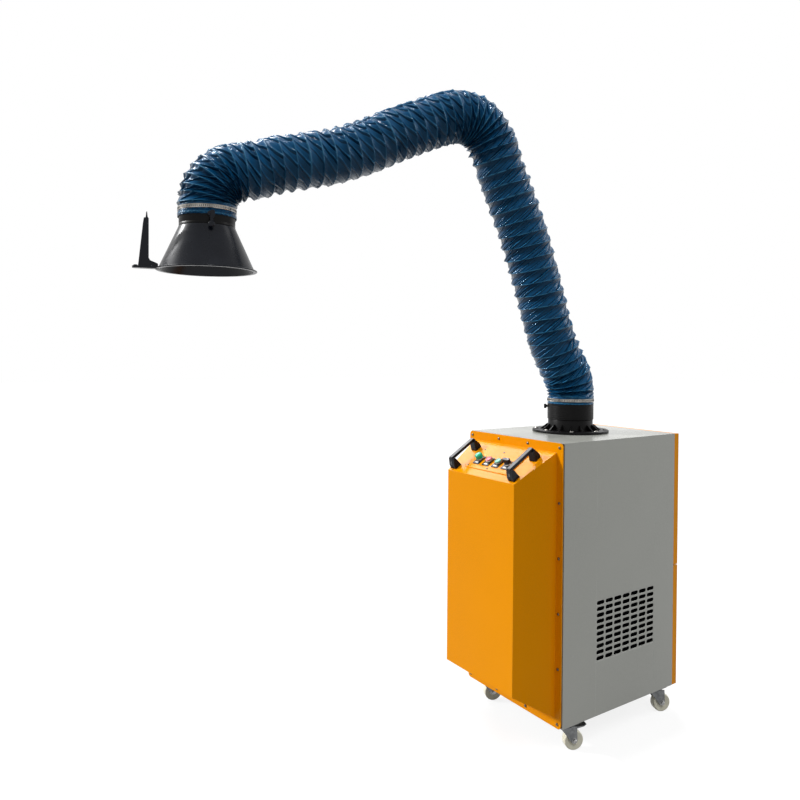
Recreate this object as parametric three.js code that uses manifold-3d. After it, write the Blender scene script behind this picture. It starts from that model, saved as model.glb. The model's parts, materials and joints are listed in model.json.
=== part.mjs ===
// Mobile welding fume extractor: a sheet metal cabinet on casters with a hose-covered arm and hood.
// Millimetres, +Z up. The origin is the centre of the cabinet's underside; the front faces -Y.
import * as THREE from 'three';
import { mergeVertices } from 'three/addons/utils/BufferGeometryUtils.js';
import Module from 'manifold-3d';

const wasm = await Module();
wasm.setup();
const degrees = Math.PI / 180;

// Gaps between pieces, and how far a cutting tool passes through
const gap = { seat: 0.3, run: 0.5 };
const cut = 2;

// Cabinet
const cabinet = { width: 450, depth: 550, height: 890, sheet: 1.5, fold: 20 };
const base = { plate: 3, lip: 25 };
const gasket = { thickness: 5, inset: 4, width: 16 };
const housing = {
  flange: 3, sheet: 1.5, corner: 12, reach: 146,
  sideMargin: 26, bottomMargin: 30, topMargin: 30,
  sideTaper: 35, bottomTaper: 86, topTaper: 91,
};
const screw = { margin: 14, radius: 4.5, head: 2.5, across: 4, up: 6, sides: 8 };
const grille = { columns: 7, rows: 10, pitchY: 42, pitchZ: 20, length: 35, height: 12, back: 23,
  up: 275 };
const gland = { hole: 10.5, thread: 10, bore: 5, hex: 14, nut: 6, dome: 14, fromRear: 85, up: 120 };

// Controls on the sloping top of the housing; up is towards the cabinet
const controls = { width: 214, length: 106, plate: 2, shift: -2, row: -9, pitch: 46, hole: 11.5 };
const legend = { width: 30, above: 15, below: 26, thickness: 3 };
const bezel = { radius: 14.5, height: 5 };
const lamp = { radius: 11, dome: 12.5, height: 16 };
const button = { radius: 10.8, proud: 2.5, stem: 5, tail: 32 };
const selector = { length: 30, width: 9, height: 14 };
const controlBox = { width: 226, length: 100, depth: 70, sheet: 1.2 };
const handle = {
  side: 144, shift: -11, span: 132, foot: 28, height: 42, bar: 9, width: 15, post: 24, top: 112,
};

// Back doors, their frame, hinge and latches
const rearFrame = { thickness: 3, width: 30, rail: 40 };
const door = { depth: 24, split: 424.5, space: 3, edge: 0.5, stand: 0.5 };
const hinge = {
  out: 4.5, back: 4, pin: 2.5, knuckle: 4.5, leaf: 1.5, leafWidth: 30, margin: 60, barrel: 50, pitch: 120,
};
const latch = {
  inset: 50, knob: 16, knobHeight: 8, grip: 10, spindle: 6, camWidth: 12, camReach: 26, cam: 3,
};

// Inside the cabinet
const bulkhead = { sheet: 1.5, back: 105 };
const filter = { length: 360, cap: 12, wall: 55, headroom: 70, room: 17.7, pleats: 30, pleatDepth: 26 };
const tieRod = { radius: 6, bridge: 20, nut: 20, nutHeight: 12, wing: 34, past: 6 };
const drawer = { width: 370, height: 78, sheet: 1.5, pull: 6, pullWidth: 120, clear: 5 };
const baffle = { side: 200, below: 50, strap: 24, sheet: 1.5 };
const fan = {
  x: -15, up: 215, smallRadius: 112, largeRadius: 165, width: 100, sheet: 1.5, outlet: 195,
  outletHeight: 96,
};
const impeller = {
  radius: 98, eye: 60, hub: 20, sheet: 3, blades: 12, blade: 2.5, inner: 46, lean: 35, side: 9,
};
const motor = {
  radius: 72, length: 170, bell: 58, bellLength: 16, behind: 9, shaft: 9.5, stand: 120, foot: 4,
};
const terminal = { width: 60, length: 70, height: 30 };

// Casters: all four swivel, the two at the front have a brake pedal
const caster = {
  sideInset: 32, frontInset: 49, rearInset: 57, turn: -22,
  plate: 60, plateThickness: 2.5, head: 22, headHeight: 9,
  trail: 24, wheel: 31.5, tread: 25, chamfer: 2, clear: 2, hub: 10, axleUp: 57.5, bore: 4.6, axle: 4,
  leg: 2.5, crown: 21, sides: 20,
};
const pedal = { width: 22, thickness: 3, reach: 66, tip: 9, toe: 8, pin: 2.5, hub: 5, out: 4,
  below: 7.5 };

// Collar on the cabinet's top; heights are above the top
const collar = {
  x: -20, y: 12, azimuth: -101, flange: 133.5, thickness: 8, tube: 78.5, bore: 74, seam: 44.5, sides: 32,
};
const gusset = { count: 16, run: 38, rise: 24, thickness: 4 };
const collarScrew = { count: 8, circle: 120, radius: 6, head: 4 };
const swivel = { radius: 81, top: 100, spigot: 77.5, spigotTop: 126, bore: 73, sleeve: 25,
  sleeveBore: 70 };
const lockKnob = { azimuth: -32, up: 90, radius: 8, length: 12, stem: 3 };
const clamp = { width: 14, thickness: 2, housing: 18, screw: 9, up: 6, hoodBelow: 2 };

// Arm: links inside the hose, in the plane that points away from the collar
const arm = {
  lean: 23.6, droop: 17.3, lower: 980, upper: 836, shoulder: 150, rod: 11, eye: 16, eyeWidth: 24,
};
const pivot = { pin: 6, hole: 6.4, ear: 6, earRadius: 18, head: 10, headHeight: 5 };
const hoodPlace = { out: 81, down: 105, strapRoom: 2 };

// Hose: its route follows the links, at shares of their length and of the hose's radius
const hose = {
  radius: 85.5, valley: 79, bore: 75, cuff: 80.8, pitch: 38, sides: 8, cuffLap: 12, routeSteps: 2000,
};
const lowerRouteShares = [
  [0.0063, -0.008], [0.0345, -0.052], [0.0631, -0.049], [0.1087, 0.007], [0.18, 0.05], [0.2513, 0.006],
  [0.363, -0.125], [0.4747, -0.249], [0.5867, -0.333], [0.6989, -0.35], [0.8111, -0.346],
  [0.9234, -0.351], [0.9683, -0.253],
];
const upperRouteShares = [
  [-0.012, 0.056], [0.0123, -0.168], [0.0415, -0.326], [0.0736, -0.417], [0.1069, -0.454],
  [0.1607, -0.442], [0.244, -0.359], [0.3745, -0.196], [0.5045, 0.002], [0.6356, 0.09], [0.7193, 0.064],
  [0.8508, 0.013], [0.9345, 0.017], [1.0181, -0.014], [1.0508, 0.051], [1.0806, 0.199], [1.105, 0.422],
];
const hoseCutShares = [0.115, 0.405, 0.6, 0.835];

// Hood: heights are below the wrist pivot
const neck = { radius: 79, wall: 3, length: 60, cover: 26 };
const hood = { mouth: 134, drop: 126, wall: 3, rim: 142, rimHeight: 4, ring: 16, sides: 32 };
const damper = {
  radius: 70, thickness: 2, below: 35, spindle: 4, knobRoom: 1, knob: 13, knobLength: 14, lever: 29,
  ball: 9,
};
const hoodHandle = {
  lug: 203, lugHeight: 8, width: 26, inner: 159, outer: 188, top: 173, height: 138, web: 17, tip: 5,
  chamfer: 4,
};

// Materials
function finish(color, roughness, metalness) {
  return new THREE.MeshStandardMaterial({ color, roughness, metalness });
}
const orangePaint = finish(0xf59b05, 0.4, 0);
const greyPaint = finish(0xa9aca6, 0.5, 0);
const blackPlastic = finish(0x15161a, 0.35, 0);
const rubber = finish(0x1a1a1a, 0.8, 0);
const hoseFabric = finish(0x163f66, 0.45, 0);
const zinc = finish(0xb4b7b8, 0.35, 0.9);
const galvanised = finish(0x9a9d9f, 0.45, 0.7);
const nylon = finish(0xd8d3b4, 0.5, 0);
const aluminium = finish(0xb9bcc0, 0.4, 0.8);
const castIron = finish(0x4a5560, 0.55, 0.3);
const filterMedia = finish(0xe9e6da, 0.9, 0);
const greenLens = finish(0x14b08a, 0.2, 0);
const redPlastic = finish(0xd8324a, 0.35, 0);
const greenPlastic = finish(0x46b59a, 0.35, 0);

// A closed solid of a geometry whose shared vertices are merged
function solid(geometry) {
  const bare = geometry.clone();
  bare.deleteAttribute('normal');
  bare.deleteAttribute('uv');
  const merged = mergeVertices(bare);
  const corners = [];
  for (let i = 0; i < merged.index.count; i += 3) {
    const [a, b, c] = [merged.index.getX(i), merged.index.getX(i + 1), merged.index.getX(i + 2)];
    if (a !== b && b !== c && c !== a) corners.push(a, b, c);
  }
  return new wasm.Manifold(new wasm.Mesh({
    numProp: 3,
    vertProperties: new Float32Array(merged.attributes.position.array),
    triVerts: new Uint32Array(corners),
  }));
}

function join(...solids) {
  return solids.reduce((whole, next) => whole.add(next));
}

function trim(whole, ...tools) {
  return tools.reduce((left, tool) => left.subtract(tool), whole);
}

function placed(body, matrix) {
  return body.transform(matrix.elements);
}

// A box between two corners
function block(x0, x1, y0, y1, z0, z1) {
  const geometry = new THREE.BoxGeometry(x1 - x0, y1 - y0, z1 - z0);
  return solid(geometry.translate((x0 + x1) / 2, (y0 + y1) / 2, (z0 + z1) / 2));
}

// A round bar from one height to another along Z
function bar(radius, from, to, sides = 12) {
  const geometry = new THREE.CylinderGeometry(radius, radius, to - from, sides);
  return solid(geometry.rotateX(90 * degrees).translate(0, 0, (from + to) / 2));
}

// Quarter turns that stand a bar made along Z on another axis
const toX = new THREE.Matrix4().makeRotationY(90 * degrees);
const toY = new THREE.Matrix4().makeRotationX(-90 * degrees);

function moved(body, x, y, z) {
  return placed(body, new THREE.Matrix4().makeTranslation(x, y, z));
}

function barAlongX(radius, from, to, y, z, sides) {
  return moved(placed(bar(radius, from, to, sides), toX), 0, y, z);
}

function barAlongY(radius, from, to, x, z, sides) {
  return moved(placed(bar(radius, from, to, sides), toY), x, 0, z);
}

// A solid of revolution about Z from a closed outline of [radius, height]
function turned(outline, sides) {
  const profile = [...outline, outline[0]].map(([radius, height]) => new THREE.Vector2(radius, height));
  return solid(new THREE.LatheGeometry(profile, sides).rotateX(90 * degrees));
}

function shapeOf(points) {
  return new THREE.Shape(points.map(([x, y]) => new THREE.Vector2(x, y)));
}

// An outline of [x, z] made solid between two places along Y
function slab(points, y0, y1, holes = []) {
  const shape = shapeOf(points);
  shape.holes = holes.map(shapeOf);
  const geometry = new THREE.ExtrudeGeometry(shape, { depth: y1 - y0, bevelEnabled: false });
  return solid(geometry.rotateX(90 * degrees).translate(0, y1, 0));
}

// An outline of [y, z] made solid between two places along X
function sideSlab(points, x0, x1, holes = []) {
  const shape = shapeOf(points);
  shape.holes = holes.map(shapeOf);
  const geometry = new THREE.ExtrudeGeometry(shape, { depth: x1 - x0, bevelEnabled: false });
  const stand = new THREE.Matrix4().makeBasis(
    new THREE.Vector3(0, 1, 0), new THREE.Vector3(0, 0, 1), new THREE.Vector3(1, 0, 0));
  return solid(geometry.applyMatrix4(stand).translate(x0, 0, 0));
}

function rectangle(x0, x1, z0, z1) {
  return [[x0, z0], [x1, z0], [x1, z1], [x0, z1]];
}

function roundedRectangle(x0, x1, z0, z1, radius, steps = 4) {
  const points = [];
  const centres = [
    [x1 - radius, z0 + radius, -90], [x1 - radius, z1 - radius, 0],
    [x0 + radius, z1 - radius, 90], [x0 + radius, z0 + radius, 180],
  ];
  for (const [x, z, start] of centres) {
    for (let i = 0; i <= steps; i++) {
      const angle = (start + 90 * i / steps) * degrees;
      points.push([x + radius * Math.cos(angle), z + radius * Math.sin(angle)]);
    }
  }
  return points;
}

// A block whose cross-section changes from one rectangle to another along Y
function frustum(y0, section0, y1, section1) {
  const geometry = new THREE.BoxGeometry(1, 1, 1);
  const place = geometry.attributes.position;
  for (let i = 0; i < place.count; i++) {
    const [y, section] = place.getY(i) < 0 ? [y0, section0] : [y1, section1];
    const x = place.getX(i) < 0 ? -section.half : section.half;
    const z = place.getZ(i) < 0 ? section.bottom : section.top;
    place.setXYZ(i, x, y, z);
  }
  return solid(geometry);
}

const model = new THREE.Group();

// Adds a solid to a group as a named mesh
function piece(name, body, material, parent = model) {
  const { numProp, vertProperties, triVerts } = body.getMesh();
  const geometry = new THREE.BufferGeometry();
  const corners = new Float32Array(vertProperties.length / numProp * 3);
  for (let i = 0; i < corners.length / 3; i++) {
    for (let k = 0; k < 3; k++) corners[i * 3 + k] = vertProperties[i * numProp + k];
  }
  geometry.setAttribute('position', new THREE.BufferAttribute(corners, 3));
  geometry.setIndex(new THREE.BufferAttribute(new Uint32Array(triVerts), 1));
  geometry.computeVertexNormals();
  const mesh = new THREE.Mesh(geometry, material);
  mesh.name = name;
  parent.add(mesh);
}

// Places that several pieces share
const sideFace = cabinet.width / 2;
const innerSide = sideFace - cabinet.sheet - gap.seat;
const frontFace = -cabinet.depth / 2;
const rearFace = cabinet.depth / 2;
const innerFront = frontFace + cabinet.sheet + gap.seat;
const innerRear = rearFace - cabinet.sheet - gap.seat;
const topSheet = cabinet.height - cabinet.sheet;
const panelTop = topSheet - gap.seat;
const flangeBack = frontFace - gasket.thickness;
const flangeFront = flangeBack - housing.flange;
const frameHalf = innerSide - base.plate - gap.seat;
const frameBack = innerRear - base.plate - gap.seat;
const frameFront = frameBack - rearFrame.thickness;
const bulkheadBack = frontFace + bulkhead.back;
const floor = base.plate + gap.seat;
const shelfTop = door.split - gap.run;
const shelfBottom = shelfTop - cabinet.sheet;
const filterTop = cabinet.height - filter.headroom;
const filterBottom = shelfTop + gap.seat + drawer.height + filter.room;
const filterUp = (filterTop + filterBottom) / 2;
const filterRadius = (filterTop - filterBottom) / 2;
const filterBore = filterRadius - filter.wall;
const glandY = rearFace - gland.fromRear;

// Base tray with upturned edges
function buildBase() {
  const outside = block(-innerSide, innerSide, innerFront, innerRear, 0, base.lip);
  const inside = block(
    -innerSide + base.plate, innerSide - base.plate, innerFront + base.plate, innerRear - base.plate,
    base.plate, base.lip + cut);
  piece('base_tray', trim(outside, inside), greyPaint);
}

// A side panel: a web with a fold at the front and at the back
function panelWeb(side, holes) {
  const inner = side * (sideFace - cabinet.sheet);
  const outer = side * sideFace;
  const [x0, x1] = [Math.min(inner, outer), Math.max(inner, outer)];
  const outline = rectangle(frontFace, rearFace, 0, panelTop);
  const web = sideSlab(outline, x0, x1, holes);
  const foldEnd = side * (sideFace - cabinet.fold);
  const [f0, f1] = [Math.min(foldEnd, outer), Math.max(foldEnd, outer)];
  const front = block(f0, f1, frontFace, frontFace + cabinet.sheet, 0, panelTop);
  const rear = block(f0, f1, rearFace - cabinet.sheet, rearFace, 0, panelTop);
  return join(web, front, rear);
}

function grilleSlots() {
  const slots = [];
  for (let column = 0; column < grille.columns; column++) {
    for (let row = 0; row < grille.rows; row++) {
      const y = grille.back + (column - (grille.columns - 1) / 2) * grille.pitchY;
      const z = grille.up + (row - (grille.rows - 1) / 2) * grille.pitchZ;
      const [halfLength, radius] = [grille.length / 2, grille.height / 2];
      slots.push(roundedRectangle(y - halfLength, y + halfLength, z - radius, z + radius, radius, 1));
    }
  }
  return slots;
}

function buildPanels() {
  piece('right_side_panel', panelWeb(1, grilleSlots()), greyPaint);
  const hole = moved(placed(bar(gland.hole, -sideFace - cut, -sideFace + cabinet.fold), toX), 0,
    glandY, gland.up);
  piece('left_side_panel', trim(panelWeb(-1, []), hole), greyPaint);

  const sheet = block(-sideFace, sideFace, frontFace, rearFace, topSheet, cabinet.height);
  const outside = block(-innerSide, innerSide, innerFront, innerRear, panelTop - cabinet.fold,
    cabinet.height);
  const inside = block(
    -innerSide + cabinet.sheet, innerSide - cabinet.sheet, innerFront + cabinet.sheet,
      innerRear - cabinet.sheet,
    panelTop - cabinet.fold - cut, topSheet);
  const cap = join(sheet, trim(outside, inside));
  const duct = moved(bar(collar.bore, panelTop - cut, cabinet.height + cut, collar.sides), collar.x,
    collar.y, 0);
  piece('top_panel', trim(cap, duct), greyPaint);
}

// The housing's cross-section at a distance in front of its flange, inside a wall of a thickness
function bulgeSection(reach, wall) {
  const share = reach / housing.reach;
  const lean = (taper) => wall * Math.hypot(1, taper / housing.reach);
  return {
    half: sideFace - housing.sideMargin - housing.sideTaper * share - lean(housing.sideTaper),
    bottom: housing.bottomMargin + housing.bottomTaper * share + lean(housing.bottomTaper),
    top: cabinet.height - housing.topMargin - housing.topTaper * share - lean(housing.topTaper),
  };
}

// The sloping top: its own frame has +X right, +Y up the slope and +Z out of it
const slopeAngle = Math.atan2(housing.topTaper, housing.reach);
const slopeMiddle = new THREE.Vector3(
  0, flangeFront - housing.reach / 2, cabinet.height - housing.topMargin - housing.topTaper / 2);
const slopeFrame = new THREE.Matrix4().makeRotationX(slopeAngle).setPosition(slopeMiddle);
const controlPlaces = [-1.5, -0.5, 0.5, 1.5].map((step) => step * controls.pitch);
const plateTop = gap.seat + controls.plate;
const legendTop = plateTop + legend.thickness;
const bezelTop = legendTop + bezel.height;

function controlHoles(from, to) {
  return controlPlaces.map((x) => moved(bar(controls.hole, from, to), x, controls.row, 0));
}

function screwPlaces() {
  const places = [];
  const [halfWidth, low, high] = [sideFace - screw.margin, screw.margin, cabinet.height - screw.margin];
  for (let i = 0; i < screw.across; i++) {
    const x = -halfWidth + 2 * halfWidth * i / (screw.across - 1);
    places.push([x, low], [x, high]);
  }
  for (let i = 1; i < screw.up - 1; i++) {
    const z = low + (high - low) * i / (screw.up - 1);
    places.push([-halfWidth, z], [halfWidth, z]);
  }
  return places;
}

// Front housing: a flange over the whole front and a hollow bulge with sloping sides
function buildFront() {
  const ringOuter = rectangle(-sideFace + gasket.inset, sideFace - gasket.inset, gasket.inset,
    cabinet.height - gasket.inset);
  const edge = gasket.inset + gasket.width;
  const ringInner = rectangle(-sideFace + edge, sideFace - edge, edge, cabinet.height - edge);
  piece('front_gasket', slab(ringOuter, flangeBack + gap.seat, frontFace - gap.seat, [ringInner]),
    rubber);

  const outline = roundedRectangle(-sideFace, sideFace, 0, cabinet.height, housing.corner);
  const flange = slab(outline, flangeFront, flangeBack);
  const lap = housing.flange / 2;
  const outer = frustum(
    flangeFront - housing.reach, bulgeSection(housing.reach, 0), flangeFront + lap,
      bulgeSection(-lap, 0));
  const inner = frustum(
    flangeFront - housing.reach + housing.sheet,
      bulgeSection(housing.reach - housing.sheet, housing.sheet),
    flangeBack + cut, bulgeSection(-housing.flange - cut, housing.sheet));
  const heads = screwPlaces().map(([x, z]) =>
    barAlongY(screw.radius, flangeFront - screw.head, flangeFront + lap, x, z, screw.sides));
  const holes = controlHoles(-housing.sheet - cut, cut).map((hole) => placed(hole, slopeFrame));
  piece('front_housing', trim(join(flange, outer, ...heads), inner, ...holes), orangePaint);
}

// Control plate with its legend plates and bezels, the lamp, the buttons and the selector
function buildControls() {
  const slope = new THREE.Group();
  slope.position.copy(slopeMiddle);
  slope.rotation.x = slopeAngle;
  model.add(slope);

  const [halfWidth, halfLength] = [controls.width / 2, controls.length / 2];
  const sheet = block(
    -halfWidth, halfWidth, controls.shift - halfLength, controls.shift + halfLength, gap.seat, plateTop);
  const fittings = controlPlaces.flatMap((x) => [
    block(
      x - legend.width / 2, x + legend.width / 2, controls.row - legend.below,
        controls.row + legend.above,
      gap.seat, legendTop),
    moved(bar(bezel.radius, gap.seat, bezelTop, 20), x, controls.row, 0),
  ]);
  piece('control_plate', trim(join(sheet, ...fittings), ...controlHoles(-cut, bezelTop + cut)),
    orangePaint, slope);

  const dome = turned([
    [0, -button.tail], [lamp.radius, -button.tail], [lamp.radius, bezelTop + gap.seat],
    [lamp.dome, bezelTop + gap.seat], [lamp.dome, bezelTop + lamp.height * 0.7],
    [lamp.dome * 0.7, bezelTop + lamp.height * 0.94], [0, bezelTop + lamp.height],
  ], 20);
  const [lampX, stopX, startX, selectorX] = controlPlaces;
  piece('signal_lamp', moved(dome, lampX, controls.row, 0), greenLens, slope);

  const cap = join(
    bar(button.radius, bezelTop - bezel.height, bezelTop + button.proud, 20),
    bar(button.stem, -button.tail, bezelTop - bezel.height + cut / 2, 12));
  piece('stop_button', moved(cap, stopX, controls.row, 0), redPlastic, slope);
  piece('start_button', moved(cap, startX, controls.row, 0), greenPlastic, slope);

  const grip = block(
    -selector.length / 2, selector.length / 2, -selector.width / 2, selector.width / 2,
    bezelTop + gap.run, bezelTop + selector.height);
  const knob = join(cap, grip);
  piece('selector_switch', moved(knob, selectorX, controls.row, 0), blackPlastic, slope);

  const boxTop = -housing.sheet - gap.seat;
  const [boxHalf, boxLength] = [controlBox.width / 2, controlBox.length / 2];
  const box = block(
    -boxHalf, boxHalf, controls.shift - boxLength, controls.shift + boxLength,
      boxTop - controlBox.depth, boxTop);
  const room = block(
    -boxHalf + controlBox.sheet, boxHalf - controlBox.sheet,
    controls.shift - boxLength + controlBox.sheet, controls.shift + boxLength - controlBox.sheet,
    boxTop - controlBox.depth + controlBox.sheet, boxTop + cut);
  piece('control_box', trim(box, room), galvanised, slope);

  for (const [name, side] of [['left_handle', -1], ['right_handle', 1]]) {
    const [half, top, foot] = [handle.span / 2, handle.top / 2, handle.foot];
    const arch = [
      [-half, gap.seat], [-half + foot, gap.seat], [-top + handle.bar, handle.height - handle.bar],
      [top - handle.bar, handle.height - handle.bar], [half - foot, gap.seat], [half, gap.seat],
      [half, foot / 2], [top, handle.height], [-top, handle.height], [-half, foot / 2],
    ];
    const post = (end) => [
      [end * half, gap.seat], [end * (half - foot), gap.seat],
      [end * (top - handle.bar), handle.height - handle.bar], [end * top, handle.height - handle.bar / 2],
      [end * half, foot / 2],
    ];
    const whole = join(
      sideSlab(arch, -handle.width / 2, handle.width / 2),
      sideSlab(post(-1), -handle.post / 2, handle.post / 2),
      sideSlab(post(1).reverse(), -handle.post / 2, handle.post / 2));
    piece(name, moved(whole, side * handle.side, handle.shift, 0), blackPlastic, slope);
  }
}

// Rear frame that the doors close on
function buildRearFrame() {
  const outline = rectangle(-frameHalf, frameHalf, floor, panelTop);
  const inner = frameHalf - rearFrame.width;
  const low = rectangle(-inner, inner, floor + rearFrame.width, shelfTop - rearFrame.rail);
  const high = rectangle(-inner, inner, shelfTop, panelTop - rearFrame.width);
  piece('rear_frame', slab(outline, frameFront, frameBack, [low, high]), greyPaint);
}

// Hinge places up one door or, with no door, all of them
const hingeAxis = { x: -sideFace - hinge.out, y: rearFace + hinge.back };
const doorSpans = {
  lower: [door.edge, door.split - door.space / 2],
  upper: [door.split + door.space / 2, cabinet.height - door.edge],
};

function knucklePlaces([low, high]) {
  const places = [];
  const last = high - hinge.margin / 2 - hinge.barrel;
  for (let z = low + hinge.margin; z < last; z += hinge.pitch) places.push(z);
  return places;
}

function barrel(radius, z0, z1) {
  return moved(bar(radius, z0, z1, 8), hingeAxis.x, hingeAxis.y, 0);
}

function buildHinge() {
  const [low, high] = [hinge.margin - gap.run, cabinet.height - hinge.margin / 2];
  const leafFace = -sideFace - gap.seat;
  const leaf = block(leafFace - hinge.leaf, leafFace, rearFace - hinge.leafWidth, rearFace, low, high);
  const pin = barrel(hinge.pin, low, high);
  const fixed = Object.values(doorSpans).flatMap((span) => knucklePlaces(span).map((z) => {
    const [z0, z1] = [z + hinge.barrel + gap.run, Math.min(z + hinge.pitch - gap.run, span[1])];
    const link = block(leafFace - hinge.leaf, leafFace, rearFace - hinge.leaf, hingeAxis.y - hinge.leaf,
      z0, z1);
    return join(barrel(hinge.knuckle, z0, z1), link);
  }));
  piece('door_hinge', join(leaf, pin, ...fixed), zinc);
}

// Back doors: pans with folded edges, knuckles on the hinge side and a hole for the latch
const doorInner = rearFace + door.stand;
const doorOuter = rearFace + door.depth;
const latchX = sideFace - latch.inset;
const camFace = frameFront - gap.run;

function buildDoor(name, latchName, span) {
  const [low, high] = span;
  const half = sideFace - door.edge;
  const outside = block(-half, half, doorInner, doorOuter, low, high);
  const inside = block(
    -half + cabinet.sheet, half - cabinet.sheet, doorInner - cut, doorOuter - cabinet.sheet,
    low + cabinet.sheet, high - cabinet.sheet);
  const pan = trim(outside, inside);
  const knuckles = knucklePlaces(span).map((z) => {
    const strap = block(hingeAxis.x, -half + cabinet.sheet / 2, hingeAxis.y,
      hingeAxis.y + hinge.knuckle, z, z + hinge.barrel);
    return join(barrel(hinge.knuckle, z, z + hinge.barrel), strap);
  });
  const bore = barrel(hinge.pin + gap.seat, low, high);
  const latchUp = (low + high) / 2;
  const latchHole = barAlongY(latch.spindle + gap.run, doorInner, doorOuter + cut, latchX, latchUp);
  piece(name, trim(join(pan, ...knuckles), bore, latchHole), orangePaint);

  const seat = doorOuter + gap.seat;
  const spindle = barAlongY(latch.spindle, camFace - latch.cam, seat + cut / 2, latchX, latchUp, 16);
  const knob = barAlongY(latch.knob, seat, seat + latch.knobHeight, latchX, latchUp, 20);
  const grip = block(
    latchX - latch.spindle / 2, latchX + latch.spindle / 2, seat + cut,
      seat + latch.knobHeight + latch.grip,
    latchUp - latch.knob, latchUp + latch.knob);
  const cam = block(
    latchX - latch.camWidth / 2, latchX + latch.camWidth / 2, camFace - latch.cam, camFace,
    latchUp - latch.camWidth / 2, latchUp + latch.camReach);
  piece(latchName, join(spindle, knob, grip, cam), blackPlastic);
}

// Walls inside: the bulkhead that carries the filter and fan, and the shelf between them
function buildWalls() {
  const y0 = bulkheadBack - bulkhead.sheet;
  const wall = block(-frameHalf, frameHalf, y0, bulkheadBack, floor, panelTop);
  const cleanHole = barAlongY(filterBore, y0 - cut, bulkheadBack + cut, 0, filterUp, 24);
  const fanHole = barAlongY(impeller.eye + impeller.side, y0 - cut, bulkheadBack + cut, fan.x, fan.up,
    24);
  const bridge = block(
    -filterBore - tieRod.bridge, filterBore + tieRod.bridge, y0 - tieRod.radius,
      y0 + bulkhead.sheet / 2,
    filterUp - tieRod.bridge / 2, filterUp + tieRod.bridge / 2);
  const rodEnd = bulkheadBack + gap.seat + filter.length + gap.seat + tieRod.nutHeight;
  const rod = barAlongY(tieRod.radius, y0 - tieRod.radius, rodEnd + tieRod.past, 0, filterUp, 12);
  const nut = barAlongY(tieRod.nut, rodEnd - tieRod.nutHeight, rodEnd, 0, filterUp, 16);
  const wing = block(
    -tieRod.wing, tieRod.wing, rodEnd - tieRod.nutHeight, rodEnd - tieRod.nutHeight / 2,
    filterUp - tieRod.radius, filterUp + tieRod.radius);
  piece('bulkhead', join(trim(wall, cleanHole, fanHole), bridge, rod, nut, wing), galvanised);

  piece('middle_shelf', block(
    -innerSide, innerSide, bulkheadBack + gap.seat, frameFront - gap.seat, shelfBottom, shelfTop),
      galvanised);
}

// Pleated filter cartridge lying along Y, held by the bulkhead's rod
function buildFilter() {
  const start = bulkheadBack + gap.seat;
  const end = start + filter.length;
  const star = [];
  for (let i = 0; i < filter.pleats * 2; i++) {
    const angle = 360 * degrees * i / (filter.pleats * 2);
    const radius = filterRadius - filter.cap / 2 - (i % 2) * filter.pleatDepth;
    star.push([radius * Math.cos(angle), filterUp + radius * Math.sin(angle)]);
  }
  const media = slab(star, start + filter.cap / 2, end - filter.cap / 2);
  const openCap = barAlongY(filterRadius, start, start + filter.cap, 0, filterUp, 32);
  const closedCap = barAlongY(filterRadius, end - filter.cap, end, 0, filterUp, 32);
  const core = barAlongY(filterBore, start - cut, end - filter.cap, 0, filterUp, 24);
  const rodHole = barAlongY(tieRod.radius + gap.run, start, end + cut, 0, filterUp, 12);
  piece('filter_cartridge', trim(join(media, openCap, closedCap), core, rodHole), filterMedia);
}

function buildDrawer() {
  const [start, end] = [bulkheadBack + drawer.clear, frameFront - gap.seat - drawer.clear];
  const [low, half, wall] = [shelfTop + gap.seat, drawer.width / 2, drawer.sheet];
  const outside = block(-half, half, start, end, low, low + drawer.height);
  const inside = block(-half + wall, half - wall, start + wall, end - wall, low + wall,
    low + drawer.height + cut);
  const middle = low + drawer.height / 2;
  const pull = block(
    -drawer.pullWidth / 2, drawer.pullWidth / 2, end - wall, end + drawer.pull, middle,
      middle + drawer.pull);
  piece('dust_drawer', join(trim(outside, inside), pull), galvanised);
}

// Spark baffle: a plate hung under the inlet by two straps
function buildBaffle() {
  const half = baffle.side / 2;
  const low = panelTop - baffle.below;
  const plate = block(
    collar.x - half, collar.x + half, collar.y - half, collar.y + half, low, low + baffle.sheet);
  const straps = [-1, 1].map((side) => block(
    collar.x + side * half - baffle.sheet / 2, collar.x + side * half + baffle.sheet / 2,
    collar.y - baffle.strap / 2, collar.y + baffle.strap / 2, low, topSheet - gap.seat));
  piece('spark_baffle', join(plate, ...straps), galvanised);
}

// Fan: a scroll casing behind the bulkhead, with a bladed wheel and its motor
function scrollOutline(inset, past) {
  const points = [];
  const [sweep, start, steps] = [315, 45, 20];
  for (let i = 0; i <= steps; i++) {
    const share = i / steps;
    const angle = (start - sweep * share) * degrees;
    const radius = fan.smallRadius + (fan.largeRadius - fan.smallRadius) * share - inset;
    points.push([fan.x + radius * Math.cos(angle), fan.up + radius * Math.sin(angle)]);
  }
  points.push([fan.x + fan.outlet + past, fan.up + fan.largeRadius - inset]);
  points.push([fan.x + fan.outlet + past, fan.up + fan.largeRadius - fan.outletHeight + inset]);
  return points.reverse();
}

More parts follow.
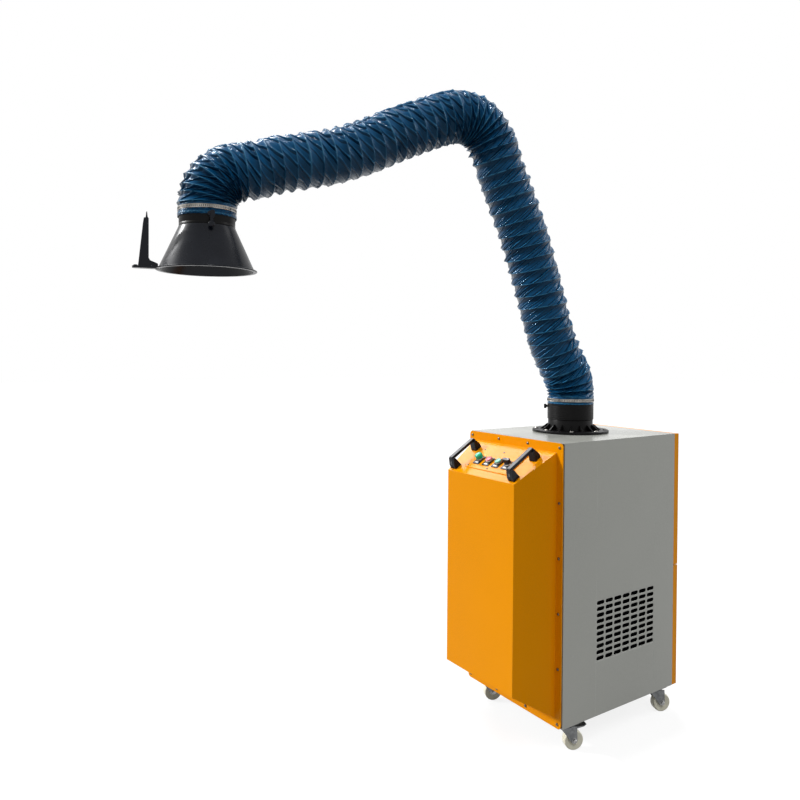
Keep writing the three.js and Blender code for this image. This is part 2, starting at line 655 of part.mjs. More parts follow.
function buildFan() {
  const front = bulkheadBack + gap.seat;
  const back = front + fan.width;
  const casing = slab(scrollOutline(0, 0), front, back);
  const room = slab(scrollOutline(fan.sheet, cut), front + fan.sheet, back - fan.sheet);
  const inlet = barAlongY(impeller.eye + impeller.side, front - cut, front + fan.sheet + cut, fan.x,
    fan.up, 24);
  const shaftHole = barAlongY(impeller.hub + cut, back - fan.sheet - cut, back + cut, fan.x, fan.up, 24);
  piece('fan_casing', trim(casing, room, inlet, shaftHole), galvanised);

  const wheelFront = front + fan.sheet + impeller.side;
  const wheelBack = back - fan.sheet - impeller.side;
  const shroud = trim(
    barAlongY(impeller.radius, wheelFront, wheelFront + impeller.sheet, fan.x, fan.up, 24),
    barAlongY(impeller.eye, wheelFront - cut, wheelFront + impeller.sheet + cut, fan.x, fan.up, 32));
  const plate = barAlongY(impeller.radius, wheelBack - impeller.sheet, wheelBack, fan.x, fan.up, 24);
  const blades = [];
  const bladeLength = impeller.radius - impeller.inner;
  for (let i = 0; i < impeller.blades; i++) {
    const blade = block(
      0, bladeLength, wheelFront + impeller.sheet / 2, wheelBack - impeller.sheet / 2,
      -impeller.blade / 2, impeller.blade / 2);
    const turn = new THREE.Matrix4().makeRotationY(360 * degrees * i / impeller.blades);
    const set = new THREE.Matrix4().makeTranslation(impeller.inner, 0, 0)
      .multiply(new THREE.Matrix4().makeRotationY(impeller.lean * degrees));
    blades.push(moved(placed(placed(blade, set), turn), fan.x, 0, fan.up));
  }
  const ring = barAlongY(impeller.radius, wheelFront, wheelBack, fan.x, fan.up, 24);
  const motorFace = back + motor.behind;
  const hub = barAlongY(impeller.hub, wheelFront + impeller.side, wheelBack, fan.x, fan.up, 20);
  const shaft = barAlongY(motor.shaft, wheelBack - cut, motorFace + motor.shaft * 3, fan.x, fan.up, 16);
  const bladed = join(...blades).intersect(ring);
  piece('fan_impeller', join(shroud, plate, bladed, hub, shaft), aluminium);

  const end = motorFace + motor.length;
  const stator = barAlongY(motor.radius, motorFace, end, fan.x, fan.up, 24);
  const bell = barAlongY(motor.bell, end - cut, end + motor.bellLength, fan.x, fan.up, 24);
  const half = motor.stand / 2;
  const box = block(
    fan.x - terminal.width / 2, fan.x + terminal.width / 2, motorFace + terminal.height,
    motorFace + terminal.height + terminal.length, fan.up + motor.radius * 0.9,
      fan.up + motor.radius + terminal.height);
  const [standFront, standBack] = [motorFace + terminal.height, end - terminal.height];
  const legs = [-1, 1].map((side) => block(
    fan.x + side * half * 0.8 - motor.foot / 2, fan.x + side * half * 0.8 + motor.foot / 2,
    standFront, standBack, floor, fan.up - motor.radius * 0.3));
  const foot = block(fan.x - half, fan.x + half, standFront, standBack, floor, floor + motor.foot);
  const bore = barAlongY(motor.shaft + gap.run, motorFace - cut, motorFace + motor.shaft * 4, fan.x,
    fan.up, 24);
  piece('fan_motor', trim(join(stator, bell, box, ...legs, foot), bore), castIron);
}

// Cable gland through the left panel; the cable itself is left out
function buildGland() {
  const [outer, inner] = [-sideFace - gap.seat, -sideFace + cabinet.sheet + gap.seat];
  const [y, z] = [glandY, gland.up];
  const body = join(
    barAlongX(gland.thread, outer - gland.nut, inner + gland.nut, y, z, 16),
    barAlongX(gland.hex, outer - gland.nut, outer, y, z, 6),
    barAlongX(gland.hex, inner, inner + gland.nut, y, z, 6),
    barAlongX(gland.thread, outer - gland.nut - gland.dome, outer - gland.nut + cut / 2, y, z, 16));
  const bore = barAlongX(gland.bore, outer - gland.nut - gland.dome - cut, inner + gland.nut + cut, y,
    z, 32);
  piece('cable_gland', trim(body, bore), blackPlastic);
}

// One caster: its own frame has the swivel axis at the origin and the wheel trailing towards +Y
function buildCaster(name, x, y, braked) {
  const group = new THREE.Group();
  group.position.set(x, y, 0);
  model.add(group);
  const half = caster.plate / 2;
  const plateLow = -gap.seat - caster.plateThickness;
  piece(`${name}_plate`, join(
    block(-half, half, -half, half, plateLow, -gap.seat),
    bar(caster.head, plateLow - caster.headHeight / 2, plateLow + cut / 2, 16)), zinc, group);

  const swung = new THREE.Group();
  swung.rotation.z = caster.turn * degrees;
  group.add(swung);
  const headTop = plateLow - caster.headHeight / 2 - gap.seat;
  const crownLow = headTop - caster.headHeight / 2;
  const inside = caster.tread / 2 + gap.run;
  const outside = inside + caster.leg;
  const wheelTop = caster.wheel + caster.clear;
  const leg = [
    [-caster.crown, crownLow], [-caster.crown, crownLow - caster.leg],
      [caster.trail - caster.hub, -caster.axleUp - caster.hub / 2],
    [caster.trail, -caster.axleUp - caster.hub], [caster.trail + caster.hub, -caster.axleUp],
    [caster.trail + caster.hub * 0.8, crownLow], [caster.trail, crownLow],
  ];
  const legs = [-1, 1].map((side) => sideSlab(
    leg.slice().reverse(), Math.min(side * inside, side * outside),
      Math.max(side * inside, side * outside)));
  const crown = block(-outside, outside, -caster.crown, caster.trail, crownLow - caster.leg,
    crownLow + cut / 2);
  const race = bar(caster.head, crownLow, headTop, 16);
  const axle = barAlongX(caster.axle, -outside - caster.leg, outside + caster.leg, caster.trail,
    -caster.axleUp, 12);
  const heads = [-1, 1].map((side) => barAlongX(
    caster.hub * 0.7, Math.min(side * (outside - cut / 4), side * (outside + caster.leg)),
    Math.max(side * (outside - cut / 4), side * (outside + caster.leg)), caster.trail, -caster.axleUp,
      6));
  const tyreRoom = barAlongX(wheelTop, -inside, inside, caster.trail, -caster.axleUp, 24);
  const pinY = caster.trail + pedal.out;
  const pinZ = crownLow - pedal.below;
  const pin = barAlongX(pedal.pin, -outside, outside, pinY, pinZ, 12);
  const fork = join(trim(join(race, crown), tyreRoom), ...legs, axle, ...heads);
  piece(`${name}_fork`, braked ? join(fork, pin) : fork, zinc, swung);

  const wheel = turned([
    [caster.bore, -caster.tread / 2], [caster.wheel - caster.chamfer, -caster.tread / 2],
    [caster.wheel, -caster.tread / 2 + caster.chamfer],
    [caster.wheel, caster.tread / 2 - caster.chamfer],
    [caster.wheel - caster.chamfer, caster.tread / 2], [caster.bore, caster.tread / 2],
  ], caster.sides);
  piece(`${name}_wheel`, moved(placed(wheel, toX), 0, caster.trail, -caster.axleUp), nylon, swung);

  if (braked) {
    const tab = [
      [pinY, pinZ], [pinY, pinZ - pedal.thickness], [pedal.reach - pedal.toe, -pedal.tip - pedal.toe],
      [pedal.reach, -pedal.tip - pedal.thickness], [pedal.reach, -pedal.tip],
      [pedal.reach - pedal.toe, -pedal.tip - pedal.toe + pedal.thickness],
      [pinY + pedal.hub, pinZ + pedal.hub - pedal.thickness / 2],
    ];
    const hub = barAlongX(pedal.hub, -inside + gap.seat, inside - gap.seat, pinY, pinZ);
    const plate = sideSlab(tab, -pedal.width / 2, pedal.width / 2);
    const bore = barAlongX(pedal.pin + gap.seat, -inside, inside, pinY, pinZ, 12);
    piece(`${name}_pedal`, trim(join(hub, plate), bore), zinc, swung);
  }
}

// Arm parts share a frame whose +X points away from the collar in the arm's plane
const armFrame = new THREE.Group();
armFrame.position.set(collar.x, collar.y, cabinet.height);
armFrame.rotation.z = collar.azimuth * degrees;
model.add(armFrame);

function buildCollar() {
  const group = new THREE.Group();
  group.position.set(collar.x, collar.y, cabinet.height + gap.seat);
  model.add(group);
  const tube = turned([
    [collar.bore, 0], [collar.flange, 0], [collar.flange, collar.thickness],
      [collar.tube, collar.thickness],
    [collar.tube, collar.seam], [collar.bore, collar.seam],
  ], collar.sides);
  const gussets = [];
  for (let i = 0; i < gusset.count; i++) {
    const start = collar.tube - cut;
    const rib = slab([
      [start, collar.thickness - cut / 2], [collar.tube + gusset.run, collar.thickness - cut / 2],
      [collar.tube + gusset.run, collar.thickness + cut / 2], [start, collar.thickness + gusset.rise],
    ], -gusset.thickness / 2, gusset.thickness / 2);
    gussets.push(placed(rib, new THREE.Matrix4().makeRotationZ(360 * degrees * i / gusset.count)));
  }
  const screws = [];
  for (let i = 0; i < collarScrew.count; i++) {
    const angle = 360 * degrees * i / collarScrew.count;
    screws.push(moved(
      bar(collarScrew.radius, collar.thickness - cut / 2, collar.thickness + collarScrew.head, 8),
      collarScrew.circle * Math.cos(angle), collarScrew.circle * Math.sin(angle), 0));
  }
  piece('collar_base', join(tube, ...gussets, ...screws), blackPlastic, group);
}

function buildSwivel() {
  const low = gap.seat + collar.seam + gap.run;
  const ring = turned([
    [swivel.sleeveBore, low - swivel.sleeve], [swivel.bore, low - swivel.sleeve], [swivel.bore, low],
    [swivel.radius, low], [swivel.radius, swivel.top], [swivel.spigot, swivel.top],
    [swivel.spigot, swivel.spigotTop], [swivel.bore, swivel.spigotTop], [swivel.bore, low + cut],
    [swivel.sleeveBore, low + cut],
  ], collar.sides);
  const turn = new THREE.Matrix4().makeRotationZ(lockKnob.azimuth * degrees);
  const stemHole = placed(barAlongX(lockKnob.stem + gap.seat, swivel.bore - cut, swivel.radius + cut, 0,
    lockKnob.up, 12), turn);
  piece('collar_swivel', trim(ring, stemHole), blackPlastic, armFrame);
  const start = swivel.radius + gap.seat;
  const knob = join(
    barAlongX(lockKnob.radius, start, start + lockKnob.length, 0, lockKnob.up, 12),
    barAlongX(lockKnob.stem, swivel.bore + cut / 2, start + cut, 0, lockKnob.up, 10));
  piece('collar_lock_knob', placed(knob, turn), blackPlastic, armFrame);
}

// A band round a hose cuff, with its worm screw housing
function clampBand(innerRadius, low) {
  const outer = innerRadius + clamp.thickness;
  const band = turned([
    [innerRadius, low], [outer, low], [outer, low + clamp.width], [innerRadius, low + clamp.width],
  ], collar.sides);
  const worm = block(
    -clamp.housing / 2, clamp.housing / 2, -outer - clamp.screw, -outer + clamp.thickness / 2,
    low + cut / 2, low + clamp.width - cut / 2);
  return join(band, worm);
}

// The eye at one end of a link, lying across it, and the ears and pin of the fork that holds an eye
function eye(radius) {
  return placed(bar(radius, -arm.eyeWidth / 2, arm.eyeWidth / 2), toY);
}

function eyeHole() {
  return placed(bar(pivot.hole, -arm.eyeWidth, arm.eyeWidth, 16), toY);
}

function ears(length) {
  const inner = arm.eyeWidth / 2 + gap.run;
  const outer = inner + pivot.ear;
  const plates = [-1, 1].map((side) => {
    const [y0, y1] = [Math.min(side * inner, side * outer), Math.max(side * inner, side * outer)];
    return join(
      barAlongY(pivot.earRadius, y0, y1, 0, 0),
      block(-pivot.earRadius, pivot.earRadius, y0, y1, -length, 0));
  });
  const pin = barAlongY(pivot.pin, -outer - cut / 2, outer + cut / 2, 0, 0, 12);
  const heads = [-1, 1].map((side) => {
    const [from, to] = [side * (outer - cut / 4), side * (outer + pivot.headHeight)];
    return barAlongY(pivot.head, Math.min(from, to), Math.max(from, to), 0, 0, 6);
  });
  return join(...plates, pin, ...heads);
}

// A link from one pivot to the next, pointing along +Z
function link(length) {
  const earLength = arm.eye + pivot.earRadius;
  const rodTop = length - earLength + pivot.ear;
  const rod = trim(join(eye(arm.eye), bar(arm.rod, 0, rodTop, 16)), eyeHole());
  const across = arm.eyeWidth / 2 + gap.run + pivot.ear;
  const yoke = block(
    -pivot.earRadius, pivot.earRadius, -across, across, length - earLength,
      length - earLength + pivot.ear);
  return join(rod, yoke, moved(ears(earLength), 0, 0, length));
}

// Pivots in the arm's plane, as [out, up]
const shoulderAt = [0, arm.shoulder];
const elbowAt = [
  arm.lower * Math.sin(arm.lean * degrees), arm.shoulder + arm.lower * Math.cos(arm.lean * degrees)];
const wristAt = [
  elbowAt[0] + arm.upper * Math.cos(arm.droop * degrees),
    elbowAt[1] - arm.upper * Math.sin(arm.droop * degrees)];
const hoodAxis = wristAt[0] + hoodPlace.out;
const neckTop = wristAt[1] - hoodPlace.down;
const neckBottom = neckTop - neck.length;

function buildLinks() {
  const bridgeLow = swivel.top + pivot.ear;
  const bridgeHalf = Math.sqrt(swivel.bore ** 2 - pivot.earRadius ** 2) - gap.seat;
  const bridge = block(
    -pivot.earRadius, pivot.earRadius, -bridgeHalf, bridgeHalf, bridgeLow, bridgeLow + pivot.ear);
  const bracket = join(bridge, moved(ears(arm.shoulder - bridgeLow - pivot.ear / 2), 0, 0, arm.shoulder));
  piece('shoulder_bracket', bracket, galvanised, armFrame);

  const lower = new THREE.Group();
  lower.position.set(shoulderAt[0], 0, shoulderAt[1]);
  lower.rotation.y = arm.lean * degrees;
  armFrame.add(lower);
  piece('lower_arm_link', link(arm.lower), aluminium, lower);

  const upper = new THREE.Group();
  upper.position.set(elbowAt[0], 0, elbowAt[1]);
  upper.rotation.y = (90 + arm.droop) * degrees;
  armFrame.add(upper);
  piece('upper_arm_link', link(arm.upper), aluminium, upper);

  const half = arm.eyeWidth / 2;
  const strapX = hoodAxis - hose.bore * Math.cos(180 * degrees / hose.sides) + hoodPlace.strapRoom;
  const strap = block(strapX, strapX + pivot.ear, -half, half, neckTop - arm.eyeWidth, wristAt[1]);
  const wallX = hoodAxis - Math.sqrt((neck.radius - neck.wall) ** 2 - half ** 2) + gap.seat;
  const pad = block(wallX, strapX + pivot.ear, -half, half, neckTop - arm.eyeWidth, neckTop - gap.run);
  const wristEye = moved(eye(arm.eye), wristAt[0], 0, wristAt[1]);
  const reach = block(wristAt[0], strapX + pivot.ear, -half, half, wristAt[1] - arm.eye, wristAt[1]);
  const bracketHole = moved(eyeHole(), wristAt[0], 0, wristAt[1]);
  piece('hood_bracket', trim(join(strap, pad, wristEye, reach), bracketHole), galvanised, armFrame);
}

// The hose's centre line in the arm's plane
function routeCurve() {
  const along = ([start, angle, length], [share, offset]) => {
    const [sin, cos] = [Math.sin(angle), Math.cos(angle)];
    const [distance, side] = [share * length, offset * hose.radius];
    return new THREE.Vector3(start[0] + distance * sin + side * cos, 0,
      start[1] + distance * cos - side * sin);
  };
  const lowerLink = [shoulderAt, arm.lean * degrees, arm.lower];
  const upperLink = [elbowAt, (90 + arm.droop) * degrees, arm.upper];
  const curve = new THREE.CatmullRomCurve3([
    ...[-2, -1, 0, 0.8].map((step) => new THREE.Vector3(0, 0, swivel.spigotTop + step * hose.cuffLap)),
    ...lowerRouteShares.map((shares) => along(lowerLink, shares)),
    ...upperRouteShares.map((shares) => along(upperLink, shares)),
    ...[0.8, 0, -1, -2].map((step) => new THREE.Vector3(hoodAxis, 0, neckTop + step * hose.cuffLap)),
  ], false, 'centripetal');
  curve.arcLengthDivisions = hose.routeSteps;
  return curve;
}

// A ribbed tube along part of the route: two rings a rib outside, a bore ring every five ribs inside
function ribbedTube(curve, from, to) {
  const total = curve.getLength();
  const ribs = Math.max(2, Math.round((to - from) / hose.pitch));
  const [outside, inside] = [[], []];
  for (let i = 0; i <= ribs * 2; i++) {
    const radius = i % 2 ? hose.radius : hose.valley;
    outside.push([from + (to - from) * i / (ribs * 2), radius]);
  }
  for (let i = 0; i < ribs; i += 5) inside.push([from + (to - from) * i / ribs, hose.bore]);
  inside.push([to, hose.bore]);
  const loop = [...outside, ...inside.reverse()];
  const points = [];
  for (const [distance, radius] of loop) {
    const share = distance / total;
    const centre = curve.getPointAt(share);
    const tangent = curve.getTangentAt(share);
    for (let k = 0; k < hose.sides; k++) {
      const angle = 360 * degrees * (k + 0.5) / hose.sides;
      const [inPlane, across] = [radius * Math.cos(angle), radius * Math.sin(angle)];
      points.push(centre.x + tangent.z * inPlane, across, centre.z - tangent.x * inPlane);
    }
  }
  const corners = [];
  for (let ring = 0; ring < loop.length; ring++) {
    const next = (ring + 1) % loop.length;
    for (let k = 0; k < hose.sides; k++) {
      const side = (k + 1) % hose.sides;
      const [a, b] = [ring * hose.sides + k, ring * hose.sides + side];
      const [c, d] = [next * hose.sides + side, next * hose.sides + k];
      corners.push(a, b, c, a, c, d);
    }
  }
  const geometry = new THREE.BufferGeometry();
  geometry.setAttribute('position', new THREE.BufferAttribute(new Float32Array(points), 3));
  geometry.setIndex(corners);
  return solid(geometry);
}

function buildHose() {
  const curve = routeCurve();
  const total = curve.getLength();
  const straight = hose.cuffLap * 2;
  const cuts = [straight, ...hoseCutShares.map((share) => share * total),
    total - straight - hose.cuffLap / 2];
  const names = ['hose_shoulder_bend', 'hose_lower_run', 'hose_elbow_bend', 'hose_upper_run',
    'hose_wrist_bend'];
  const tubes = names.map((name, i) => ribbedTube(curve, cuts[i] + gap.seat, cuts[i + 1] - gap.seat / 2));
  const cuff = (x, inner, low, high) => moved(turned([
    [inner, low], [hose.cuff, low], [hose.cuff, high], [inner, high],
  ], collar.sides), x, 0, 0);
  const lowCuff = cuff(0, swivel.spigot + gap.seat, swivel.top + gap.seat,
    swivel.spigotTop + hose.cuffLap);
  const highCuff = cuff(hoodAxis, neck.radius + gap.seat, neckTop - neck.cover, neckTop + hose.cuffLap);
  tubes[0] = join(tubes[0], lowCuff);
  tubes[4] = join(tubes[4], highCuff);
  names.forEach((name, i) => piece(name, tubes[i], hoseFabric, armFrame));

  piece('collar_clamp', clampBand(hose.cuff + gap.seat, swivel.top + clamp.up), zinc, armFrame);
  const hoodClamp = clampBand(hose.cuff + gap.seat, neckTop - clamp.width - clamp.hoodBelow);
  piece('hood_clamp', moved(hoodClamp, hoodAxis, 0, 0), zinc, armFrame);
}

// Hood: the neck in the hose, the cone that turns on it, the damper and the cast handle
function buildHood() {
  const group = new THREE.Group();
  group.position.set(hoodAxis, 0, neckBottom);
  armFrame.add(group);
  const inner = neck.radius - neck.wall;
  const spindleUp = neckTop - damper.below - neckBottom;
  const tube = turned([
    [inner, gap.run], [neck.radius, gap.run], [neck.radius, neck.length], [inner, neck.length],
  ], hood.sides);
  const spindleHole = barAlongY(damper.spindle + gap.seat, -neck.radius - cut, neck.radius + cut, 0,
    spindleUp, 16);
  piece('hood_neck', trim(tube, spindleHole), blackPlastic, group);

  const plate = barAlongX(damper.radius, -damper.thickness / 2, damper.thickness / 2, 0, spindleUp, 24);
  const knobStart = hose.cuff + damper.knobRoom;
  const spindle = barAlongY(damper.spindle, -inner - cut / 2, knobStart + cut, 0, spindleUp, 12);
  const knob = barAlongY(damper.knob, knobStart, knobStart + damper.knobLength, 0, spindleUp, 10);
  const knobEnd = knobStart + damper.knobLength;
  const lever = block(
    -damper.spindle, damper.spindle, knobEnd - damper.thickness, knobEnd + damper.thickness,
    spindleUp - damper.lever, spindleUp);
  const ball = barAlongY(
    damper.ball, knobStart + damper.ball, knobEnd + damper.ball / 2, 0, spindleUp - damper.lever, 12);
  piece('damper', join(plate, spindle, knob, lever, ball), blackPlastic, group);

  const ringOuter = inner - gap.run;
  const bottom = -hood.drop;
  const cone = turned([
    [neck.radius, 0], [ringOuter, 0], [ringOuter, hood.ring], [ringOuter - hood.wall, hood.ring],
    [ringOuter - hood.wall, -hood.wall], [hood.mouth - hood.wall, bottom], [hood.rim, bottom],
    [hood.rim, bottom + hood.rimHeight], [hood.mouth, bottom + hood.rimHeight],
  ], hood.sides);
  const lugTop = bottom + hoodHandle.lugHeight / 2;
  const lug = block(
    hood.mouth, hoodHandle.lug, -hoodHandle.width / 2, hoodHandle.width / 2,
    lugTop - hoodHandle.lugHeight, lugTop);
  const blade = slab([
    [hood.mouth, lugTop - cut], [hoodHandle.outer, lugTop - cut],
      [hoodHandle.top, lugTop + hoodHandle.height],
    [hoodHandle.inner + hoodHandle.tip, lugTop + hoodHandle.height + hoodHandle.web],
    [hoodHandle.inner, lugTop + hoodHandle.height],
    [hoodHandle.inner, lugTop + hoodHandle.web + hoodHandle.chamfer],
    [hoodHandle.inner - hoodHandle.chamfer, lugTop + hoodHandle.web],
    [hood.mouth, lugTop + hoodHandle.web],
  ], -hoodHandle.width / 4, hoodHandle.width / 4);
  piece('hood_cone', join(cone, trim(join(lug, blade),
    bar(hood.mouth - hood.wall / 2, bottom - cut * 4, 0, hood.sides))), blackPlastic, group);
}

buildBase();
buildPanels();
buildFront();
buildControls();
buildRearFrame();
buildHinge();
buildDoor('upper_door', 'upper_latch', doorSpans.upper);
buildDoor('lower_door', 'lower_latch', doorSpans.lower);
buildWalls();
buildFilter();
buildDrawer();
buildBaffle();
buildFan();
buildGland();
const casterSide = sideFace - caster.sideInset;
const [casterFront, casterRear] = [frontFace + caster.frontInset, rearFace - caster.rearInset];
buildCaster('front_left_caster', -casterSide, casterFront, true);
buildCaster('front_right_caster', casterSide, casterFront, true);
buildCaster('rear_left_caster', -casterSide, casterRear, false);
buildCaster('rear_right_caster', casterSide, casterRear, false);
buildCollar();
buildSwivel();
buildLinks();
buildHose();
buildHood();

export default model;
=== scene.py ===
import json
import math

import bmesh
import bpy
import numpy as np
from mathutils import Matrix, Vector


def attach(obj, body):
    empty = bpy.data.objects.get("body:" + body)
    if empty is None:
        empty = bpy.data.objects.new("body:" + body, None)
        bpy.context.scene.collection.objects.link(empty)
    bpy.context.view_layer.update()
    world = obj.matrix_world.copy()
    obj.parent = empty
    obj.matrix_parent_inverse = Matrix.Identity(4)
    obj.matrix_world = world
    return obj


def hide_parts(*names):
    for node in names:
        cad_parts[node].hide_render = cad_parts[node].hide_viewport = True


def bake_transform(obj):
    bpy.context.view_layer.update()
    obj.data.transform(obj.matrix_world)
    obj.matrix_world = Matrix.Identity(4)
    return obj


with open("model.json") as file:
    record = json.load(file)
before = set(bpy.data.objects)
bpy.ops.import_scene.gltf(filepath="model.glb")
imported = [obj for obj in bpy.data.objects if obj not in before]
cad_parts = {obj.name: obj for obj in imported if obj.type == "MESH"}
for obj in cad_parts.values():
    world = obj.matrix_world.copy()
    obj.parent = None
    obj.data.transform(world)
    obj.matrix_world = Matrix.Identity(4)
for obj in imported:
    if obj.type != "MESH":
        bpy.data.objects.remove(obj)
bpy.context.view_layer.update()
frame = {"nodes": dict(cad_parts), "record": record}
nodes = frame["nodes"]
MM = 0.001

# Places of the CAD model, in millimetres
SIDE, FRONT, REAR, TOP = 225, -275, 275, 890
FLANGE_FRONT = -283
COLLAR = (-20, 12, TOP)
ARM_OUT = Vector((-0.190809, -0.981627, 0))
ARM_SIDE = Vector((0.981627, -0.190809, 0))
HOOD_OUT, NECK_TOP, NECK_BOTTOM = 1271.52, 694.43, 634.43
ARM_FRAME = Matrix((
    (ARM_OUT.x, ARM_SIDE.x, 0, COLLAR[0]),
    (ARM_OUT.y, ARM_SIDE.y, 0, COLLAR[1]),
    (0, 0, 1, COLLAR[2]),
    (0, 0, 0, 1)))
SLOPE_ANGLE = math.atan2(91, 146)
SLOPE = Matrix.Translation((0, -356, 814.5)) @ Matrix.Rotation(SLOPE_ANGLE, 4, "X")
CASTERS = {
    "front_left": (-193, -226), "front_right": (193, -226),
    "rear_left": (-193, 218), "rear_right": (193, 218),
}
CASTER_TURN, AXLE_PLACE = math.radians(-22), (0, 24, -57.5)

ALONG_X = Matrix.Rotation(math.pi / 2, 4, "Y")
ALONG_MINUS_X = Matrix.Rotation(-math.pi / 2, 4, "Y")
ALONG_Y = Matrix.Rotation(-math.pi / 2, 4, "X")
ALONG_MINUS_Y = Matrix.Rotation(math.pi / 2, 4, "X")


# ---------------------------------------------------------------- camera, stage and light
FLOOR_SIZE, FLOOR_HEIGHT = 60, -0.0891      # metres: the wheels stand just above it
WORLD_LIGHT, FLOOR_TONE, FLOOR_GLOW = 0.25, 0.22, 0.84

# Each sun: where it shines from, its strength, and how wide it is in degrees
SUNS = {
    "front_light": ((-0.62, -0.66, 0.42), 2.4, 4),
    "front_glow": ((-0.62, -0.66, 0.42), 0.75, 40),
    "top_light": ((0.5, -0.1, 0.86), 1.05, 38),
    "high_light": ((-0.12, 0.1, 0.98), 0.85, 4),
    "sky_light": ((-0.7416, 0.1557, 0.6526), 0.95, 22),
    "rim_light": ((0.3, 0.87, 0.4), 0.5, 24),
}


def add_camera():
    """The photograph's viewing angle, solved from the edges of the cabinet"""
    data = bpy.data.cameras.new("camera")
    data.lens, data.sensor_width = 31.665, 36
    data.shift_x, data.shift_y = -0.005, -0.04625
    data.clip_end = 60
    camera = bpy.data.objects.new("camera", data)
    bpy.context.scene.collection.objects.link(camera)
    right = Vector((0.557465, 0.830173, 0.006722))
    up = Vector((-0.013724, 0.001119, 0.999905))
    back = Vector((0.830087, -0.557504, 0.012017))
    camera.matrix_world = Matrix((
        (right.x, up.x, back.x, 1.747694),
        (right.y, up.y, back.y, -1.898291),
        (right.z, up.z, back.z, 1.162),
        (0, 0, 0, 1)))
    bpy.context.scene.camera = camera


def seen_rays(tree):
    """1 for camera, glossy and transmission rays, 0 for all others"""
    path = tree.nodes.new("ShaderNodeLightPath")
    seen = path.outputs["Is Camera Ray"]
    for ray in ("Is Glossy Ray", "Is Transmission Ray"):
        most = tree.nodes.new("ShaderNodeMath")
        most.operation = "MAXIMUM"
        tree.links.new(seen, most.inputs[0])
        tree.links.new(path.outputs[ray], most.inputs[1])
        seen = most.outputs[0]
    return seen


def add_world():
    """Soft light from all round, and plain white wherever the world itself is seen"""
    world = bpy.data.worlds.new("world")
    bpy.context.scene.world = world
    world.use_nodes = True
    tree = world.node_tree
    tree.nodes.clear()
    mix = tree.nodes.new("ShaderNodeMixShader")
    tree.links.new(seen_rays(tree), mix.inputs[0])
    for place, colour, strength in ((1, (0.95, 0.98, 1.0, 1), WORLD_LIGHT), (2, (1, 1, 1, 1), 1.0)):
        light = tree.nodes.new("ShaderNodeBackground")
        light.inputs["Color"].default_value = colour
        light.inputs["Strength"].default_value = strength
        tree.links.new(light.outputs[0], mix.inputs[place])
    out = tree.nodes.new("ShaderNodeOutputWorld")
    tree.links.new(mix.outputs[0], out.inputs[0])


def add_floor():
    """A matt plane that keeps the object's shadow, under a white glow that only seen rays meet"""
    bpy.ops.mesh.primitive_plane_add(size=FLOOR_SIZE, location=(0, 0, FLOOR_HEIGHT))
    floor = bpy.context.object
    floor.name = "floor"
    material = bpy.data.materials.new("floor")
    material.use_nodes = True
    tree = material.node_tree
    tree.nodes.clear()
    diffuse = tree.nodes.new("ShaderNodeBsdfDiffuse")
    diffuse.inputs["Color"].default_value = (FLOOR_TONE, FLOOR_TONE, FLOOR_TONE, 1)
    strength = tree.nodes.new("ShaderNodeMath")
    strength.operation = "MULTIPLY"
    strength.inputs[1].default_value = FLOOR_GLOW
    tree.links.new(seen_rays(tree), strength.inputs[0])
    glow = tree.nodes.new("ShaderNodeEmission")
    glow.inputs["Color"].default_value = (1, 1, 1, 1)
    tree.links.new(strength.outputs[0], glow.inputs["Strength"])
    both = tree.nodes.new("ShaderNodeAddShader")
    tree.links.new(diffuse.outputs[0], both.inputs[0])
    tree.links.new(glow.outputs[0], both.inputs[1])
    out = tree.nodes.new("ShaderNodeOutputMaterial")
    tree.links.new(both.outputs[0], out.inputs[0])
    floor.data.materials.append(material)


def add_sun(name, towards, strength, width):
    data = bpy.data.lights.new(name, "SUN")
    data.energy, data.angle = strength, math.radians(width)
    sun = bpy.data.objects.new(name, data)
    bpy.context.scene.collection.objects.link(sun)
    sun.rotation_euler = Vector(towards).to_track_quat("Z", "Y").to_euler()
    return sun


add_camera()
add_world()
add_floor()
suns = {name: add_sun(name, *values) for name, values in SUNS.items()}
# The broad light from above fills the shadows and leaves no shine of its own
suns["top_light"].visible_glossy = False
bpy.context.scene.view_settings.view_transform = "Standard"


# ---------------------------------------------------------------- materials
# In metres: how far paint is rubbed off a sheet's edges, and how round these edges look
RUBBED_EDGE, ROUND_EDGE = 0.0022, 0.0016
# The weave's two slanting rows of threads, in radians a metre
THREADS = 3600


